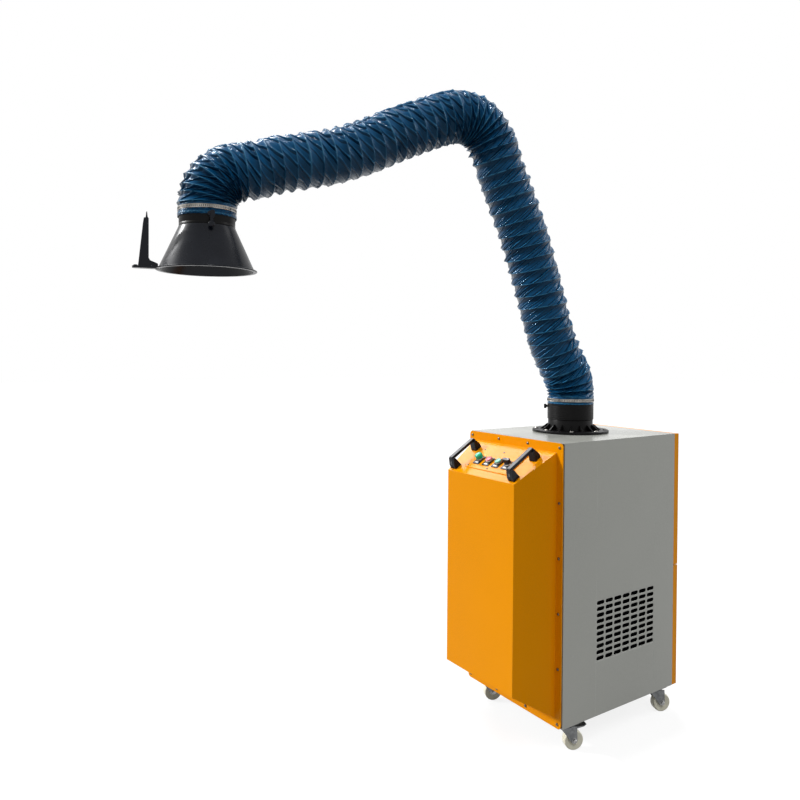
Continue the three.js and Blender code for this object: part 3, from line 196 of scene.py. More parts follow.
class Shade:
    """A material being built: a Principled shader, with short calls for the nodes before it"""

    def __init__(self, name, colour, roughness=0.5, metallic=0.0, specular=0.5):
        self.material = bpy.data.materials.new(name)
        self.material.use_nodes = True
        self.tree = self.material.node_tree
        self.shader = self.tree.nodes["Principled BSDF"]
        self.set("Base Color", (*colour, 1))
        self.set("Roughness", roughness)
        self.set("Metallic", metallic)
        self.set("Specular IOR Level", specular)
        self.place = self.tree.nodes.new("ShaderNodeTexCoord").outputs["Object"]

    def set(self, socket, value):
        self.shader.inputs[socket].default_value = value

    def link(self, output, socket):
        self.tree.links.new(output, self.shader.inputs[socket])

    def noise(self, scale, detail=4.0, roughness=0.5, stretch=None):
        node = self.tree.nodes.new("ShaderNodeTexNoise")
        node.inputs["Scale"].default_value = scale
        node.inputs["Detail"].default_value = detail
        node.inputs["Roughness"].default_value = roughness
        source = self.place
        if stretch:
            mapping = self.tree.nodes.new("ShaderNodeMapping")
            mapping.inputs["Scale"].default_value = stretch
            self.tree.links.new(source, mapping.inputs[0])
            source = mapping.outputs[0]
        self.tree.links.new(source, node.inputs["Vector"])
        return node.outputs["Fac"]

    def ramp(self, value, low, high, start=0.0, end=1.0):
        node = self.tree.nodes.new("ShaderNodeMapRange")
        node.inputs["From Min"].default_value = low
        node.inputs["From Max"].default_value = high
        node.inputs["To Min"].default_value = start
        node.inputs["To Max"].default_value = end
        self.tree.links.new(value, node.inputs["Value"])
        return node.outputs["Result"]

    def mix(self, value, first, second):
        node = self.tree.nodes.new("ShaderNodeMix")
        node.data_type = "RGBA"
        self.tree.links.new(value, node.inputs["Factor"])
        for socket, colour in (("A", first), ("B", second)):
            target = [i for i in node.inputs if i.name == socket and i.type == "RGBA"][0]
            if isinstance(colour, tuple):
                target.default_value = (*colour, 1)
            else:
                self.tree.links.new(colour, target)
        return [o for o in node.outputs if o.type == "RGBA"][0]

    def math(self, kind, first, second=None):
        node = self.tree.nodes.new("ShaderNodeMath")
        node.operation = kind
        for i, value in enumerate((first, second)):
            if value is None:
                continue
            if isinstance(value, (int, float)):
                node.inputs[i].default_value = value
            else:
                self.tree.links.new(value, node.inputs[i])
        return node.outputs[0]

    def axes(self):
        node = self.tree.nodes.new("ShaderNodeSeparateXYZ")
        self.tree.links.new(self.place, node.inputs[0])
        return node.outputs

    def attribute(self, name):
        node = self.tree.nodes.new("ShaderNodeAttribute")
        node.attribute_name = name
        return node.outputs["Fac"]

    def bump(self, height, distance, strength=1.0, bevel=0.0):
        node = self.tree.nodes.new("ShaderNodeBump")
        node.inputs["Distance"].default_value = distance
        node.inputs["Strength"].default_value = strength
        self.tree.links.new(height, node.inputs["Height"])
        if bevel:
            self.tree.links.new(self.round_edges(bevel), node.inputs["Normal"])
        self.link(node.outputs[0], "Normal")

    def round_edges(self, radius):
        node = self.tree.nodes.new("ShaderNodeBevel")
        node.samples = 4
        node.inputs["Radius"].default_value = radius
        return node.outputs[0]

    def edge_mask(self, radius):
        """1 on a sheet's corners and 0 away from them"""
        geometry = self.tree.nodes.new("ShaderNodeNewGeometry")
        dot = self.tree.nodes.new("ShaderNodeVectorMath")
        dot.operation = "DOT_PRODUCT"
        self.tree.links.new(self.round_edges(radius), dot.inputs[0])
        self.tree.links.new(geometry.outputs["True Normal"], dot.inputs[1])
        return self.ramp(dot.outputs["Value"], 0.995, 0.9)


def painted(name, colour, roughness, specular, edge, shine=(1, 1, 1)):
    """Powder coat: a fine orange peel, slow tone changes, rounded sheet edges rubbed a little paler"""
    shade = Shade(name, colour, roughness, 0, specular)
    shade.set("Specular Tint", (*shine, 1))
    darker = tuple(c * 0.93 for c in colour)
    lighter = tuple(min(1, c * 1.05) for c in colour)
    tone = shade.mix(shade.ramp(shade.noise(2.3, 3), 0.3, 0.7), darker, lighter)
    grain = shade.mix(shade.ramp(shade.noise(420, 2), 0.35, 0.65), tone, lighter)
    scuffs = shade.ramp(shade.noise(38, 6, 0.7), 0.66, 0.74)
    wear = shade.ramp(shade.noise(60, 4), 0.42, 0.6, 0.25, 0.8)
    rubbed = shade.math("MULTIPLY", shade.edge_mask(RUBBED_EDGE), wear)
    shade.link(shade.mix(rubbed, grain, edge), "Base Color")
    smear = shade.ramp(shade.noise(7, 5), 0.35, 0.7, roughness * 0.85, roughness * 1.3)
    shade.link(shade.math("ADD", smear, shade.math("MULTIPLY", scuffs, 0.12)), "Roughness")
    shade.bump(shade.noise(900, 2), 0.00018, 0.55, bevel=ROUND_EDGE)
    return shade.material


def moulded(name, colour, roughness, specular=0.5, grain=500, depth=0.00012):
    """Moulded plastic or rubber with a fine leathery grain and dusty patches"""
    shade = Shade(name, colour, roughness, 0, specular)
    dusty = tuple(min(1, c * 1.4 + 0.004) for c in colour)
    patches = shade.ramp(shade.noise(16, 6, 0.65), 0.45, 0.75, 0, 0.6)
    shade.link(shade.mix(patches, colour, dusty), "Base Color")
    uneven = shade.ramp(shade.noise(26, 5), 0.3, 0.7, roughness * 0.82, min(1, roughness * 1.25))
    shade.link(uneven, "Roughness")
    shade.bump(shade.noise(grain, 3), depth, 0.6)
    return shade.material


def metal(name, colour, roughness, spangle=90, depth=0.00006, streaks=None, dull=0.7):
    """Bare or plated metal with grain, small stains and uneven polish"""
    shade = Shade(name, colour, roughness, 1.0, 0.5)
    stain = shade.ramp(shade.noise(spangle, 5, 0.6, streaks), 0.35, 0.72)
    shade.link(shade.mix(stain, colour, tuple(c * dull for c in colour)), "Base Color")
    polish = shade.noise(spangle * 0.6, 4, 0.5, streaks)
    shade.link(shade.ramp(polish, 0.3, 0.7, roughness * 0.75, roughness * 1.35), "Roughness")
    shade.bump(shade.noise(spangle * 6, 3, 0.5, streaks), depth, 0.5)
    return shade.material


def hose_cloth():
    """Coated polyester: dark blue, fine weave, random dust; with painted light: paler where it faces up and
    on raised ribs and folds, darker where it faces down and in the folds' hollows
    """
    shade = Shade("hose_cloth", (0.006, 0.058, 0.165), 0.2, 0, 0.22)
    # Painted light and shade: a paler tone where the cloth faces up, a darker one where it faces down
    painted_shaded_tone, painted_lit_tone = (0.001, 0.026, 0.07), (0.004, 0.078, 0.2)
    painted_hollow_shade, painted_crest_highlight, dust_tone = (0.001, 0.014, 0.035), (0.04, 0.18, 0.32), (0.012, 0.085, 0.18)
    fold = shade.attribute("fold")
    clouds = shade.ramp(shade.noise(9, 5), 0.3, 0.7, -0.14, 0.14)
    painted_top_light = shade.math("ADD", shade.attribute("painted_top_light"), clouds)
    tone = shade.mix(shade.ramp(painted_top_light, 0.0, 1.0), painted_shaded_tone, painted_lit_tone)
    # Darker in the sunk pinches beside the folds: painted shade
    sunk = shade.mix(shade.ramp(fold, 0.5, 0.3), tone, painted_hollow_shade)
    # Paler on raised ribs and fold tips, more so where they face up: painted highlight
    raised = shade.ramp(fold, 0.62, 0.95, 0, 0.9)
    lit = shade.math("MULTIPLY", raised, shade.ramp(painted_top_light, 0, 0.7, 0.3, 1))
    crest = shade.mix(lit, sunk, painted_crest_highlight)
    dust = shade.ramp(shade.noise(55, 6, 0.7), 0.58, 0.82, 0, 0.25)
    shade.link(shade.mix(dust, crest, dust_tone), "Base Color")
    shade.link(shade.ramp(shade.noise(30, 4), 0.3, 0.7, 0.1, 0.18), "Roughness")
    shade.set("Specular Tint", (0.28, 0.58, 0.85, 1))
    x, y, z = shade.axes()
    threads = [shade.math("SINE", shade.math("MULTIPLY", shade.math(*way), THREADS))
               for way in (("ADD", x, z), ("SUBTRACT", y, z))]
    weave = shade.math("ADD", *threads)
    wrinkles = shade.math("MULTIPLY", shade.noise(110, 4, 0.5), 12)
    shade.bump(shade.math("ADD", weave, wrinkles), 0.00012, 0.3)
    return shade.material


ORANGE = painted("orange_paint", (0.85, 0.3, 0.0), 0.16, 0.085, (0.9, 0.4, 0.03), (1, 0.7, 0.15))
GREY = painted("grey_paint", (0.4, 0.405, 0.37), 0.2, 0.4, (0.58, 0.58, 0.54))
BLACK = moulded("black_plastic", (0.004, 0.0055, 0.01), 0.27, 0.19)
SATIN = moulded("satin_black", (0.004, 0.0038, 0.004), 0.34, 0.1, 260, 0.0002)
# Near-black and matt, for the sheet behind the grille's slots: painted shade
SHADE_SHEET = moulded("grille_painted_shade", (0.001, 0.001, 0.0012), 0.9, 0.0, 900)
RUBBER = moulded("gasket_rubber", (0.014, 0.014, 0.014), 0.75, 0.3, 700)
CLOTH = hose_cloth()
ZINC = metal("zinc", (0.17, 0.175, 0.18), 0.32, 60, dull=0.5)
SCREW = metal("screw_steel", (0.13, 0.12, 0.105), 0.25, 200)
BOLT = metal("bolt_steel", (0.32, 0.32, 0.32), 0.2, 120, dull=0.5)
STEEL = metal("bright_steel", (0.42, 0.4, 0.37), 0.2, 34, dull=0.3)
GALVANISED = metal("galvanised", (0.5, 0.52, 0.54), 0.42, 40, 0.00005)
ALUMINIUM = metal("aluminium", (0.6, 0.61, 0.63), 0.35, 60, 0.00005, (1, 1, 0.06))
NYLON = moulded("nylon", (0.8, 0.76, 0.61), 0.36, 0.4, 300)
CAST = moulded("cast_iron", (0.07, 0.095, 0.125), 0.55, 0.4, 180, 0.0006)
MEDIA = moulded("filter_media", (0.72, 0.7, 0.62), 0.9, 0.1, 900, 0.0004)
GREEN_LENS = moulded("green_lens", (0.006, 0.47, 0.26), 0.12, 0.5)
RED = moulded("red_plastic", (0.7, 0.09, 0.14), 0.28, 0.5)
GREEN = moulded("green_plastic", (0.1, 0.45, 0.32), 0.28, 0.5)
WHITE = moulded("label_white", (0.8, 0.8, 0.76), 0.4, 0.4)

BY_SLOT = {
    "orange_paint": ORANGE, "grey_paint": GREY, "black_plastic": BLACK, "gasket_rubber": RUBBER,
    "hose_fabric": CLOTH, "zinc": ZINC, "galvanised": GALVANISED, "nylon": NYLON, "aluminium": ALUMINIUM,
    "cast_iron": CAST, "filter_media": MEDIA, "green_lens": GREEN_LENS, "red_plastic": RED,
    "green_plastic": GREEN,
}
for subpart in frame["record"]["subparts"]:
    node_materials = nodes[subpart["node"]].data.materials
    node_materials.clear()
    node_materials.append(BY_SLOT[subpart["material_slot"]])


# ---------------------------------------------------------------- mesh helpers, all in millimetres
class Shape:
    """Collects plain forms into one mesh"""

    def __init__(self):
        self.points, self.faces = [], []

    def add(self, points, faces, matrix=None):
        start = len(self.points)
        matrix = matrix or Matrix.Identity(4)
        self.points += [matrix @ Vector(p) for p in points]
        self.faces += [tuple(start + i for i in face) for face in faces]
        return self

    def lathe(self, profile, matrix=None, sides=96, closed=False):
        """profile is (radius, height) from the bottom outside up, turned round Z"""
        points, faces = [], []
        count = len(profile)
        for i in range(sides):
            angle = 2 * math.pi * i / sides
            points += [(r * math.cos(angle), r * math.sin(angle), h) for r, h in profile]
        last = count if closed else count - 1
        for i in range(sides):
            j = (i + 1) % sides
            for k in range(last):
                n = (k + 1) % count
                faces.append((i * count + k, j * count + k, j * count + n, i * count + n))
        return self.add(points, faces, matrix)

    def prism(self, outline, low, high, matrix=None):
        """outline is (x, y) points going round anticlockwise, drawn out along Z"""
        count = len(outline)
        points = [(x, y, low) for x, y in outline] + [(x, y, high) for x, y in outline]
        faces = [tuple(reversed(range(count))), tuple(range(count, 2 * count))]
        faces += [(i, (i + 1) % count, count + (i + 1) % count, count + i) for i in range(count)]
        return self.add(points, faces, matrix)

    def block(self, x0, x1, y0, y1, z0, z1, matrix=None):
        return self.prism([(x0, y0), (x1, y0), (x1, y1), (x0, y1)], z0, z1, matrix)

    def pan_screw(self, radius, height, matrix):
        """The domed head of a screw, sunk a little into what it holds"""
        return self.lathe([
            (0, -0.4), (radius, -0.4), (radius, height * 0.35), (radius * 0.9, height * 0.72),
            (radius * 0.62, height * 0.95), (radius * 0.3, height), (0, height)], matrix, 24)

    def object(self, name, body, material, slot, bevel=0.0, segments=2, smooth=35, replaces=()):
        """Makes the mesh, which rides on a body and may stand for CAD nodes"""
        mesh = bpy.data.meshes.new(name)
        mesh.from_pydata([tuple(c * MM for c in p) for p in self.points], [], self.faces)
        work = bmesh.new()
        work.from_mesh(mesh)
        bmesh.ops.remove_doubles(work, verts=work.verts, dist=1e-6)
        bmesh.ops.recalc_face_normals(work, faces=work.faces)
        work.to_mesh(mesh)
        work.free()
        for polygon in mesh.polygons:
            polygon.use_smooth = True
        mesh.set_sharp_from_angle(angle=math.radians(smooth))
        piece = bpy.data.objects.new(name, mesh)
        bpy.context.scene.collection.objects.link(piece)
        mesh.materials.append(material)
        if bevel:
            cut = piece.modifiers.new("bevel", "BEVEL")
            cut.width, cut.segments, cut.limit_method = bevel * MM, segments, "ANGLE"
            cut.angle_limit = math.radians(32)
            cut.harden_normals = True
        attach(piece, body)
        if replaces:
            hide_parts(*replaces)


def arc(cx, cy, radius, start, end, steps=5):
    """Points on a circle between two angles in degrees"""
    return [(cx + radius * math.cos(math.radians(start + (end - start) * i / steps)),
             cy + radius * math.sin(math.radians(start + (end - start) * i / steps)))
            for i in range(steps + 1)]


# ---------------------------------------------------------------- the ribbed hose
# Its middle line in the arm's upright plane: (out, up) from the collar, in millimetres
ROUTE = [
    (0, 78), (0, 102), (0, 114), (0, 126), (0, 135.6), (1.84, 155.93), (9.46, 182.76), (20.92, 208.34),
    (43.2, 247.38), (74.54, 309.93), (99.07, 375.47), (132.63, 480.27), (166.74, 584.82), (204.1, 688.28),
    (246.79, 789.62), (291.12, 890.24), (334.79, 991.26), (360.08, 1028.23), (381.34, 1046.45),
    (406.43, 1058.69), (433.76, 1064.33), (461.69, 1063.78), (489.21, 1058.52), (531.85, 1044.17),
    (596.23, 1016.68), (696.24, 970.93), (794.97, 922.45), (897.38, 882.68), (964.85, 863.99),
    (1071.1, 835.46), (1137.81, 814.33), (1205.33, 796.07), (1229.77, 782.64), (1249.8, 763.15),
    (1263.6, 738.88), (1271.52, 704.03), (1271.52, 694.43), (1271.52, 682.43), (1271.52, 670.43),
    (1271.52, 648),
]
# Its pieces, and the places along the middle line where each meets the next
HOSE_NAMES = [
    "hose_shoulder_bend", "hose_lower_run", "hose_elbow_bend", "hose_upper_run", "hose_wrist_bend"]
CUTS = [236.7, 833.6, 1235.0, 1718.7]
# At places along it: the rib pitch, and the cloth's own length between two ribs
RIB_PLACES, RIB_PITCHES, CLOTH_LENGTHS = np.array([
    (0, 24, 34), (60, 26, 35), (120, 31, 37), (230, 40, 43), (330, 43.5, 46.4), (880, 43.5, 46.4),
    (950, 34, 42), (990, 23, 39), (1085, 23, 39), (1140, 33, 40), (1230, 38, 41.2), (1400, 39.5, 42),
    (1750, 41, 43.4), (1880, 33, 39), (1935, 20, 35), (2030, 15, 31), (2060, 15, 31)]).T
# Radius of the cloth at a rib, on average, under the clamps' bands, and at its free edges past them
RIB_RADIUS, MEAN_RADIUS, CUFF_RADIUS, CUFF_EDGE_RADIUS = 84.6, 84, 80.9, 81.4
# Rows of points in a turn of the wire, rows by which folds slant over a band, folds in a turn
TURN_STEPS, SLANT, CREASES = 240, -36, 13
# The columns of points from one turn of the wire to the next, as shares of the band
SHARES = np.array([0, 0.03, 0.08, 0.16, 0.26, 0.38, 0.5, 0.62, 0.74, 0.84, 0.92, 0.97])
# Folds that are drawn at random before they come round again, and the seed of every draw
FOLD_KINDS, SEED = 5000, 11
# Points of the middle line's spline between two points of its route
SPAN_STEPS = 60


def smooth_step(x):
    return x * x * (3 - 2 * x)


def route_table():
    """Middle line at every millimetre from its start at height 102: places, directions and length"""
    p = [np.array(q, float) for q in ROUTE]
    line = []
    # A spline through the points, with knots spaced by the square roots of their distances
    for i in range(1, len(p) - 2):
        d = [np.sum((p[i + k] - p[i + k - 1]) ** 2) ** 0.25 for k in range(3)]
        a, b, c, e = p[i - 1], p[i], p[i + 1], p[i + 2]
        t1 = ((b - a) / d[0] - (c - a) / (d[0] + d[1]) + (c - b) / d[1]) * d[1]
        t2 = ((c - b) / d[1] - (e - b) / (d[1] + d[2]) + (e - c) / d[2]) * d[1]
        square, cube = -3 * b + 3 * c - 2 * t1 - t2, 2 * b - 2 * c + t1 + t2
        for t in np.linspace(0, 1, SPAN_STEPS, endpoint=False):
            line.append(b + t1 * t + square * t ** 2 + cube * t ** 3)
    line.append(p[-2])
    line = np.array(line)
    run = np.concatenate([[0], np.cumsum(np.linalg.norm(np.diff(line, axis=0), axis=1))])
    s = np.arange(-4, run[-1] + 14, 1.0)
    inside = np.clip(s, 0, run[-1])
    place = np.stack([np.interp(inside, run, line[:, k]) for k in (0, 1)], 1)
    place[:, 1] += np.where(s < 0, s, 0) - np.where(s > run[-1], s - run[-1], 0)
    way = np.gradient(place, axis=0)
    kernel = np.ones(9) / 9
    for k in (0, 1):
        way[:, k] = np.convolve(np.pad(way[:, k], 4, mode="edge"), kernel, "valid")
    way /= np.linalg.norm(way, axis=1)[:, None]
    return s, place, way, run[-1]


def on_route(s, table, places, ways):
    """Place, direction and bend of the middle line at places s along it"""
    index = np.clip(s - table[0], 0, len(table) - 1.001)
    low = index.astype(int)
    part = (index - low)[..., None]
    place = places[low] * (1 - part) + places[low + 1] * part
    way = ways[low] * (1 - part) + ways[low + 1] * part
    way /= np.linalg.norm(way, axis=-1)[..., None]
    turning = np.gradient(ways, axis=0)
    bend = (turning[:, 0] * ways[:, 1] - turning[:, 1] * ways[:, 0])[low]
    return place, way, bend


def smooth_noise(rng, shape, scale):
    """Random values on a coarse grid, blended smoothly over a fine one that runs on in its first axis"""
    coarse = rng.normal(size=(int(shape[0] / scale[0]) + 3, int(shape[1] / scale[1]) + 3))
    u = np.arange(shape[0]) / scale[0]
    v = np.arange(shape[1]) / scale[1]
    i, j = u.astype(int), v.astype(int)
    fu, fv = smooth_step(u - i)[:, None], smooth_step(v - j)[None, :]
    a, b = coarse[np.ix_(i, j)], coarse[np.ix_(i + 1, j)]
    c, d = coarse[np.ix_(i, j + 1)], coarse[np.ix_(i + 1, j + 1)]
    return (a * (1 - fu) + b * fu) * (1 - fv) + (c * (1 - fu) + d * fu) * fv


def drawn_in(radius, s, gather, total):
    """The straight cuffs under the clamps, with small gathers above and below each band"""
    # Each band: its middle, half the stretch it holds, the side of the open hose, and the run to it
    for centre, reach, side, run in ((11, 9, 1, 9), (total - 15, 8, -1, 5)):
        away = np.abs(s - centre)
        loose = smooth_step(np.clip((away - reach) / run, 0, 1))
        beyond = (s - centre) * side < -reach
        cuff = CUFF_RADIUS + gather * np.clip((away - reach + 3) / 6, 0, 1)
        edge = CUFF_EDGE_RADIUS + gather + 1.2 * np.clip((away - reach) / 8, 0, 1)
        radius = cuff * (1 - loose) + np.where(beyond, edge, radius) * loose
    return radius


def arm_to_model(start, out, side, up):
    """From the arm's own directions to the model's"""
    return (start + out[..., None] * np.array(ARM_OUT) + side[..., None] * np.array(ARM_SIDE)
            + up[..., None] * np.array((0, 0, 1.0)))


def upward(world, outward):
    """How far the cloth faces up, from 0 to 1: painted light, so face up the cloth is painted paler as if lit
    from above, face down darker as if in shade
    """
    normal = np.cross(np.gradient(world, axis=0), np.gradient(world, axis=1))
    normal /= np.linalg.norm(normal, axis=-1)[..., None] + 1e-12
    normal *= np.sign(np.sum(normal * outward, axis=-1))[..., None]
    return np.clip((normal[..., 2] + 0.34) / 0.72, 0, 1)


def grid_faces(rows, columns):
    """Faces inside each band, then those from its last column to the next turn's first"""
    row = np.arange(rows - TURN_STEPS - 1)
    a = row[:, None] * columns + np.arange(columns - 1)[None, :]
    inside = np.stack([a, a + 1, a + columns + 1, a + columns], -1).reshape(-1, 4)
    b = row * columns + columns - 1
    turn = (row + TURN_STEPS + SLANT) * columns
    return np.concatenate([inside, np.stack([b, turn, turn + columns, b + columns], -1)])


def hose_grid():
    """The cloth over its wire spiral. Rows run along the wire, columns go from one turn to the next."""
    table, places, ways, total = route_table()
    # The cloth runs a little past both clamps, and the wire's turns are counted from well before it
    start, end, spare, step = -1.5, total + 10, 90, 0.5
    fine = np.arange(start - spare, end + spare, step)
    turns_at = np.concatenate([[0], np.cumsum(step / np.interp(fine[:-1], RIB_PLACES, RIB_PITCHES))])
    rows, columns = int(turns_at[-1] * TURN_STEPS) - TURN_STEPS, len(SHARES)
    rng = np.random.default_rng(SEED)

    # q counts the steps along the wire, f is the share of the way to the next turn
    q = np.arange(rows)[:, None]
    f = SHARES[None, :]
    theta = -2 * math.pi * (q / TURN_STEPS + SLANT / TURN_STEPS * f)
    theta = theta + 0.03 * smooth_noise(rng, (rows, columns), (9, 3)) * np.sin(math.pi * f)
    turns = q / TURN_STEPS + f + SLANT / TURN_STEPS * f + 0.03 * smooth_noise(rng, (rows, 1), (30, 1))
    s = np.interp(turns, turns_at, fine)
    s_held = np.clip(s, start, end)
    place, way, bend = on_route(s_held, table, places, ways)
    # Rib spacing here against that on the middle line: wider outside a bend, closer inside it
    spread = np.clip(1 - MEAN_RADIUS * bend * np.cos(theta), 0.2, 1.6)

    pitch = np.interp(s_held, RIB_PLACES, RIB_PITCHES)
    length = np.interp(s_held, RIB_PLACES, CLOTH_LENGTHS)
    sag = np.sqrt(np.clip(length ** 2 - (spread * pitch) ** 2, 30, None)) / 2
    sag = np.clip(sag, 2.7, 11.5) * (0.93 + 0.15 * smooth_noise(rng, (rows, columns), (26, 12)))
    # Cloth hangs from each rib, so a band is hollowest just under its upper rib
    skew = np.interp(s_held, [900, 1100], [0.62, 0.42])
    hollow = 1 - np.abs(2 * f ** (math.log(0.5) / np.log(skew)) - 1) ** 1.5
    # Narrow folds run slantwise from each rib to the next, longest on the lower run
    each = TURN_STEPS / CREASES
    drift = np.interp(s_held, [900, 1150], [7.0, -10.0]) * f / each
    spot = q / each + drift + 0.1 * smooth_noise(rng, (rows, columns), (30, 7))
    kind = np.floor(spot).astype(int) % FOLD_KINDS
    size = rng.uniform(0.35, 1.25, FOLD_KINDS + 1)[kind]
    width = rng.uniform(0.13, 0.2, FOLD_KINDS + 1)[kind]
    middle = 0.5 + 0.3 * (rng.uniform(size=FOLD_KINDS + 1)[kind] - 0.5)
    # Each fold is a raised line, its tip, with a shallow sunk one beside it, its pinch
    phase = spot - np.floor(spot)
    tip = np.clip(1 - np.abs(phase - middle) / width, 0, 1)
    pinch = np.clip(1 - np.abs(phase - middle - 0.21) / 0.12, 0, 1)
    window = np.clip(f / 0.04, 0, 1) ** 0.5 * (1 - f) ** 0.4 * 1.1
    loose = np.clip((length / (spread * pitch) - 1) * 3.2, 0, 1.4)
    crease = (4.2 + 1.6 * loose) * window * size * (tip - 0.4 * pinch) - 0.5
    crumple = smooth_noise(rng, (rows, columns), (11, 3.5)) * (0.25 + 0.5 * loose) * window
    from_rib = np.minimum(f, 1 - f) * pitch
    wire = 1.0 * np.exp(-(from_rib / 1.4) ** 2)
    # Just above the collar the hose is a little narrower
    bulge = -2.6 * np.exp(-((s_held - 40) / 50) ** 2)
    radius = RIB_RADIUS + bulge - sag * hollow + crease + crumple + wire
    gather = 0.8 * np.sin(theta * 30 + 2.5 * smooth_noise(rng, (rows, 1), (14, 1)))
    radius = drawn_in(radius, s_held, gather, total)

    # The fold mark: high on ribs and fold tips, which the cloth's material paints paler as a painted
    # highlight, and low in the pinches, which it paints darker as painted shade
    raised = tip * window * np.clip(size, 0, 1)
    fold = np.maximum(np.exp(-(from_rib / 2.0) ** 2), raised) - 0.5 * pinch * window
    fold = np.clip(fold, -1, 1) * 0.5 + 0.5
    normal = np.stack([way[..., 1], -way[..., 0]], -1)
    out, up = (radius * np.cos(theta) * normal[..., k] for k in (0, 1))
    side = radius * np.sin(theta)
    world = arm_to_model(np.array(COLLAR, float), place[..., 0] + out, side, place[..., 1] + up) * MM
    # How far each point faces up, which the cloth's material paints as light from above: painted light and
    # shade
    painted_top_light = upward(world, arm_to_model(0.0, out, side, up))

    quads = grid_faces(rows, columns)
    where = s.reshape(-1)[quads]
    alive = (where.max(1) > start) & (where.min(1) < end)
    marks = {"fold": fold.reshape(-1), "painted_top_light": painted_top_light.reshape(-1)}
    return world.reshape(-1, 3), marks, quads[alive], where[alive].mean(1)


def build_hose():
    world, marks, quads, where = hose_grid()
    pieces = []
    for name, low, high in zip(HOSE_NAMES, [-math.inf, *CUTS], [*CUTS, math.inf]):
        used, corners = np.unique(quads[(where >= low) & (where < high)], return_inverse=True)
        mesh = bpy.data.meshes.new(name + "_cloth")
        mesh.from_pydata(world[used].tolist(), [], corners.reshape(-1, 4).tolist())
        for key, values in marks.items():
            attribute = mesh.attributes.new(key, "FLOAT", "POINT")
            attribute.data.foreach_set("value", values[used].astype(np.float32))
        for polygon in mesh.polygons:
            polygon.use_smooth = True
        mesh.set_sharp_from_angle(angle=math.radians(26))
        mesh.materials.append(CLOTH)
        piece = bpy.data.objects.new(name + "_cloth", mesh)
        bpy.context.scene.collection.objects.link(piece)
        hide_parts(name)
        pieces.append(piece)

    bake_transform(pieces[0])
    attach(pieces[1], "lower_arm")
    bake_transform(pieces[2])
    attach(pieces[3], "upper_arm")
    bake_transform(pieces[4])


build_hose()


# ---------------------------------------------------------------- collar, swivel and clamps
BAND_WIDTH, BAND_RADIUS, BAND_SLOTS = 11, 82.4, 90


def worm_clamp(node, body, centre_out, low):
    """A steel band with rolled edges and slots, and its worm housing with the screw"""
    ring = ARM_FRAME @ Matrix.Translation((centre_out, 0, low))
    width = BAND_WIDTH
    band = Shape().lathe([
        (81.1, 0.3), (82.6, 0), (83.2, 0.7), (83.2, 1.6), (BAND_RADIUS, 2.3), (BAND_RADIUS, width - 2.3),
        (83.2, width - 1.6), (83.2, width - 0.7), (82.6, width), (81.1, width - 0.3)], ring, 128, closed=True)
    # The band's slots are thin black rubber blocks on its face: painted shade where its holes are
    slots = Shape()
    for i in range(BAND_SLOTS):
        turn = Matrix.Rotation(2 * math.pi * i / BAND_SLOTS, 4, "Z")
        tilt = Matrix.Rotation(math.radians(8), 4, "X")
        slots.block(82.2, 82.75, -1.0, 1.0, 3, width - 3, ring @ turn @ tilt)
    slots.object(node + "_slots", body, RUBBER, "zinc")
    front = ring @ Matrix.Translation((0, -BAND_RADIUS, 0)) @ Matrix.Rotation(math.pi, 4, "Z")
    screw = front @ Matrix.Translation((0, 4.6, width / 2)) @ ALONG_X
    housing = Shape()
    housing.prism([(-9, 0.8), (9, 0.8), (9, 3), *arc(0, 3, 7.2, 20, 160, 8), (-9, 3)],
                  1.6, width - 1.6, front)
    housing.lathe([(0, -12), (4.6, -12), (4.9, -11.4), (4.9, 11.2), (4.4, 11.8), (0, 11.8)], screw, 24)
    housing.lathe([(0, 11), (5.2, 11), (5.2, 14.6), (4.4, 15.2), (0, 15.2)], screw, 6)
    band.object(node + "_band", body, STEEL, "zinc", smooth=30, replaces=(node,))
    housing.object(node + "_worm", body, ZINC, "zinc", bevel=0.4)


def build_flange():
    """The flanged ring with its gussets, and eight cross-head screws on washers"""
    gussets, screw_count, screw_circle = 16, 8, 120
    base = Matrix.Translation((COLLAR[0], COLLAR[1], TOP + 0.3))
    ring = Shape().lathe([
        (74, 0), (132.7, 0), (133.5, 0.8), (133.5, 6), *arc(131.5, 6, 2, 0, 90, 4), (82, 8),
        *arc(81.5, 11, 3, 270, 180, 4), (78.5, 42.6), (77.6, 44.5), (74, 44.5)], base, 128, closed=True)
    for i in range(gussets):
        turn = Matrix.Rotation(2 * math.pi * i / gussets, 4, "Z")
        ring.prism([(77.5, 7.4), (106, 7.4), (106, 9), (102, 11), (84, 26), (80, 27.5), (77.5, 27.5)],
                   -2, 2, base @ turn @ Matrix.Rotation(math.pi / 2, 4, "X"))
    ring.object("collar_flange", "cabinet", SATIN, "black_plastic", bevel=0.5, replaces=("collar_base",))
    screws, washers = Shape(), Shape()
    for i in range(screw_count):
        angle = 2 * math.pi * i / screw_count
        place = (screw_circle * math.cos(angle), screw_circle * math.sin(angle), 8)
        spot = base @ Matrix.Translation(place)
        washers.lathe([(0, 0.1), (7.6, 0.1), (7.6, 0.9), (7.0, 1.2), (0, 1.2)], spot, 32)
        screws.pan_screw(6.1, 3.4, spot @ Matrix.Translation((0, 0, 1.2)))
        for bar in (0.3, 0.3 + math.pi / 2):
            screws.block(-3.6, 3.6, -0.55, 0.55, 4.0, 4.75, spot @ Matrix.Rotation(bar + i, 4, "Z"))
    screws.object("collar_screws", "cabinet", STEEL, "zinc")
    washers.object("collar_washers", "cabinet", ZINC, "zinc")


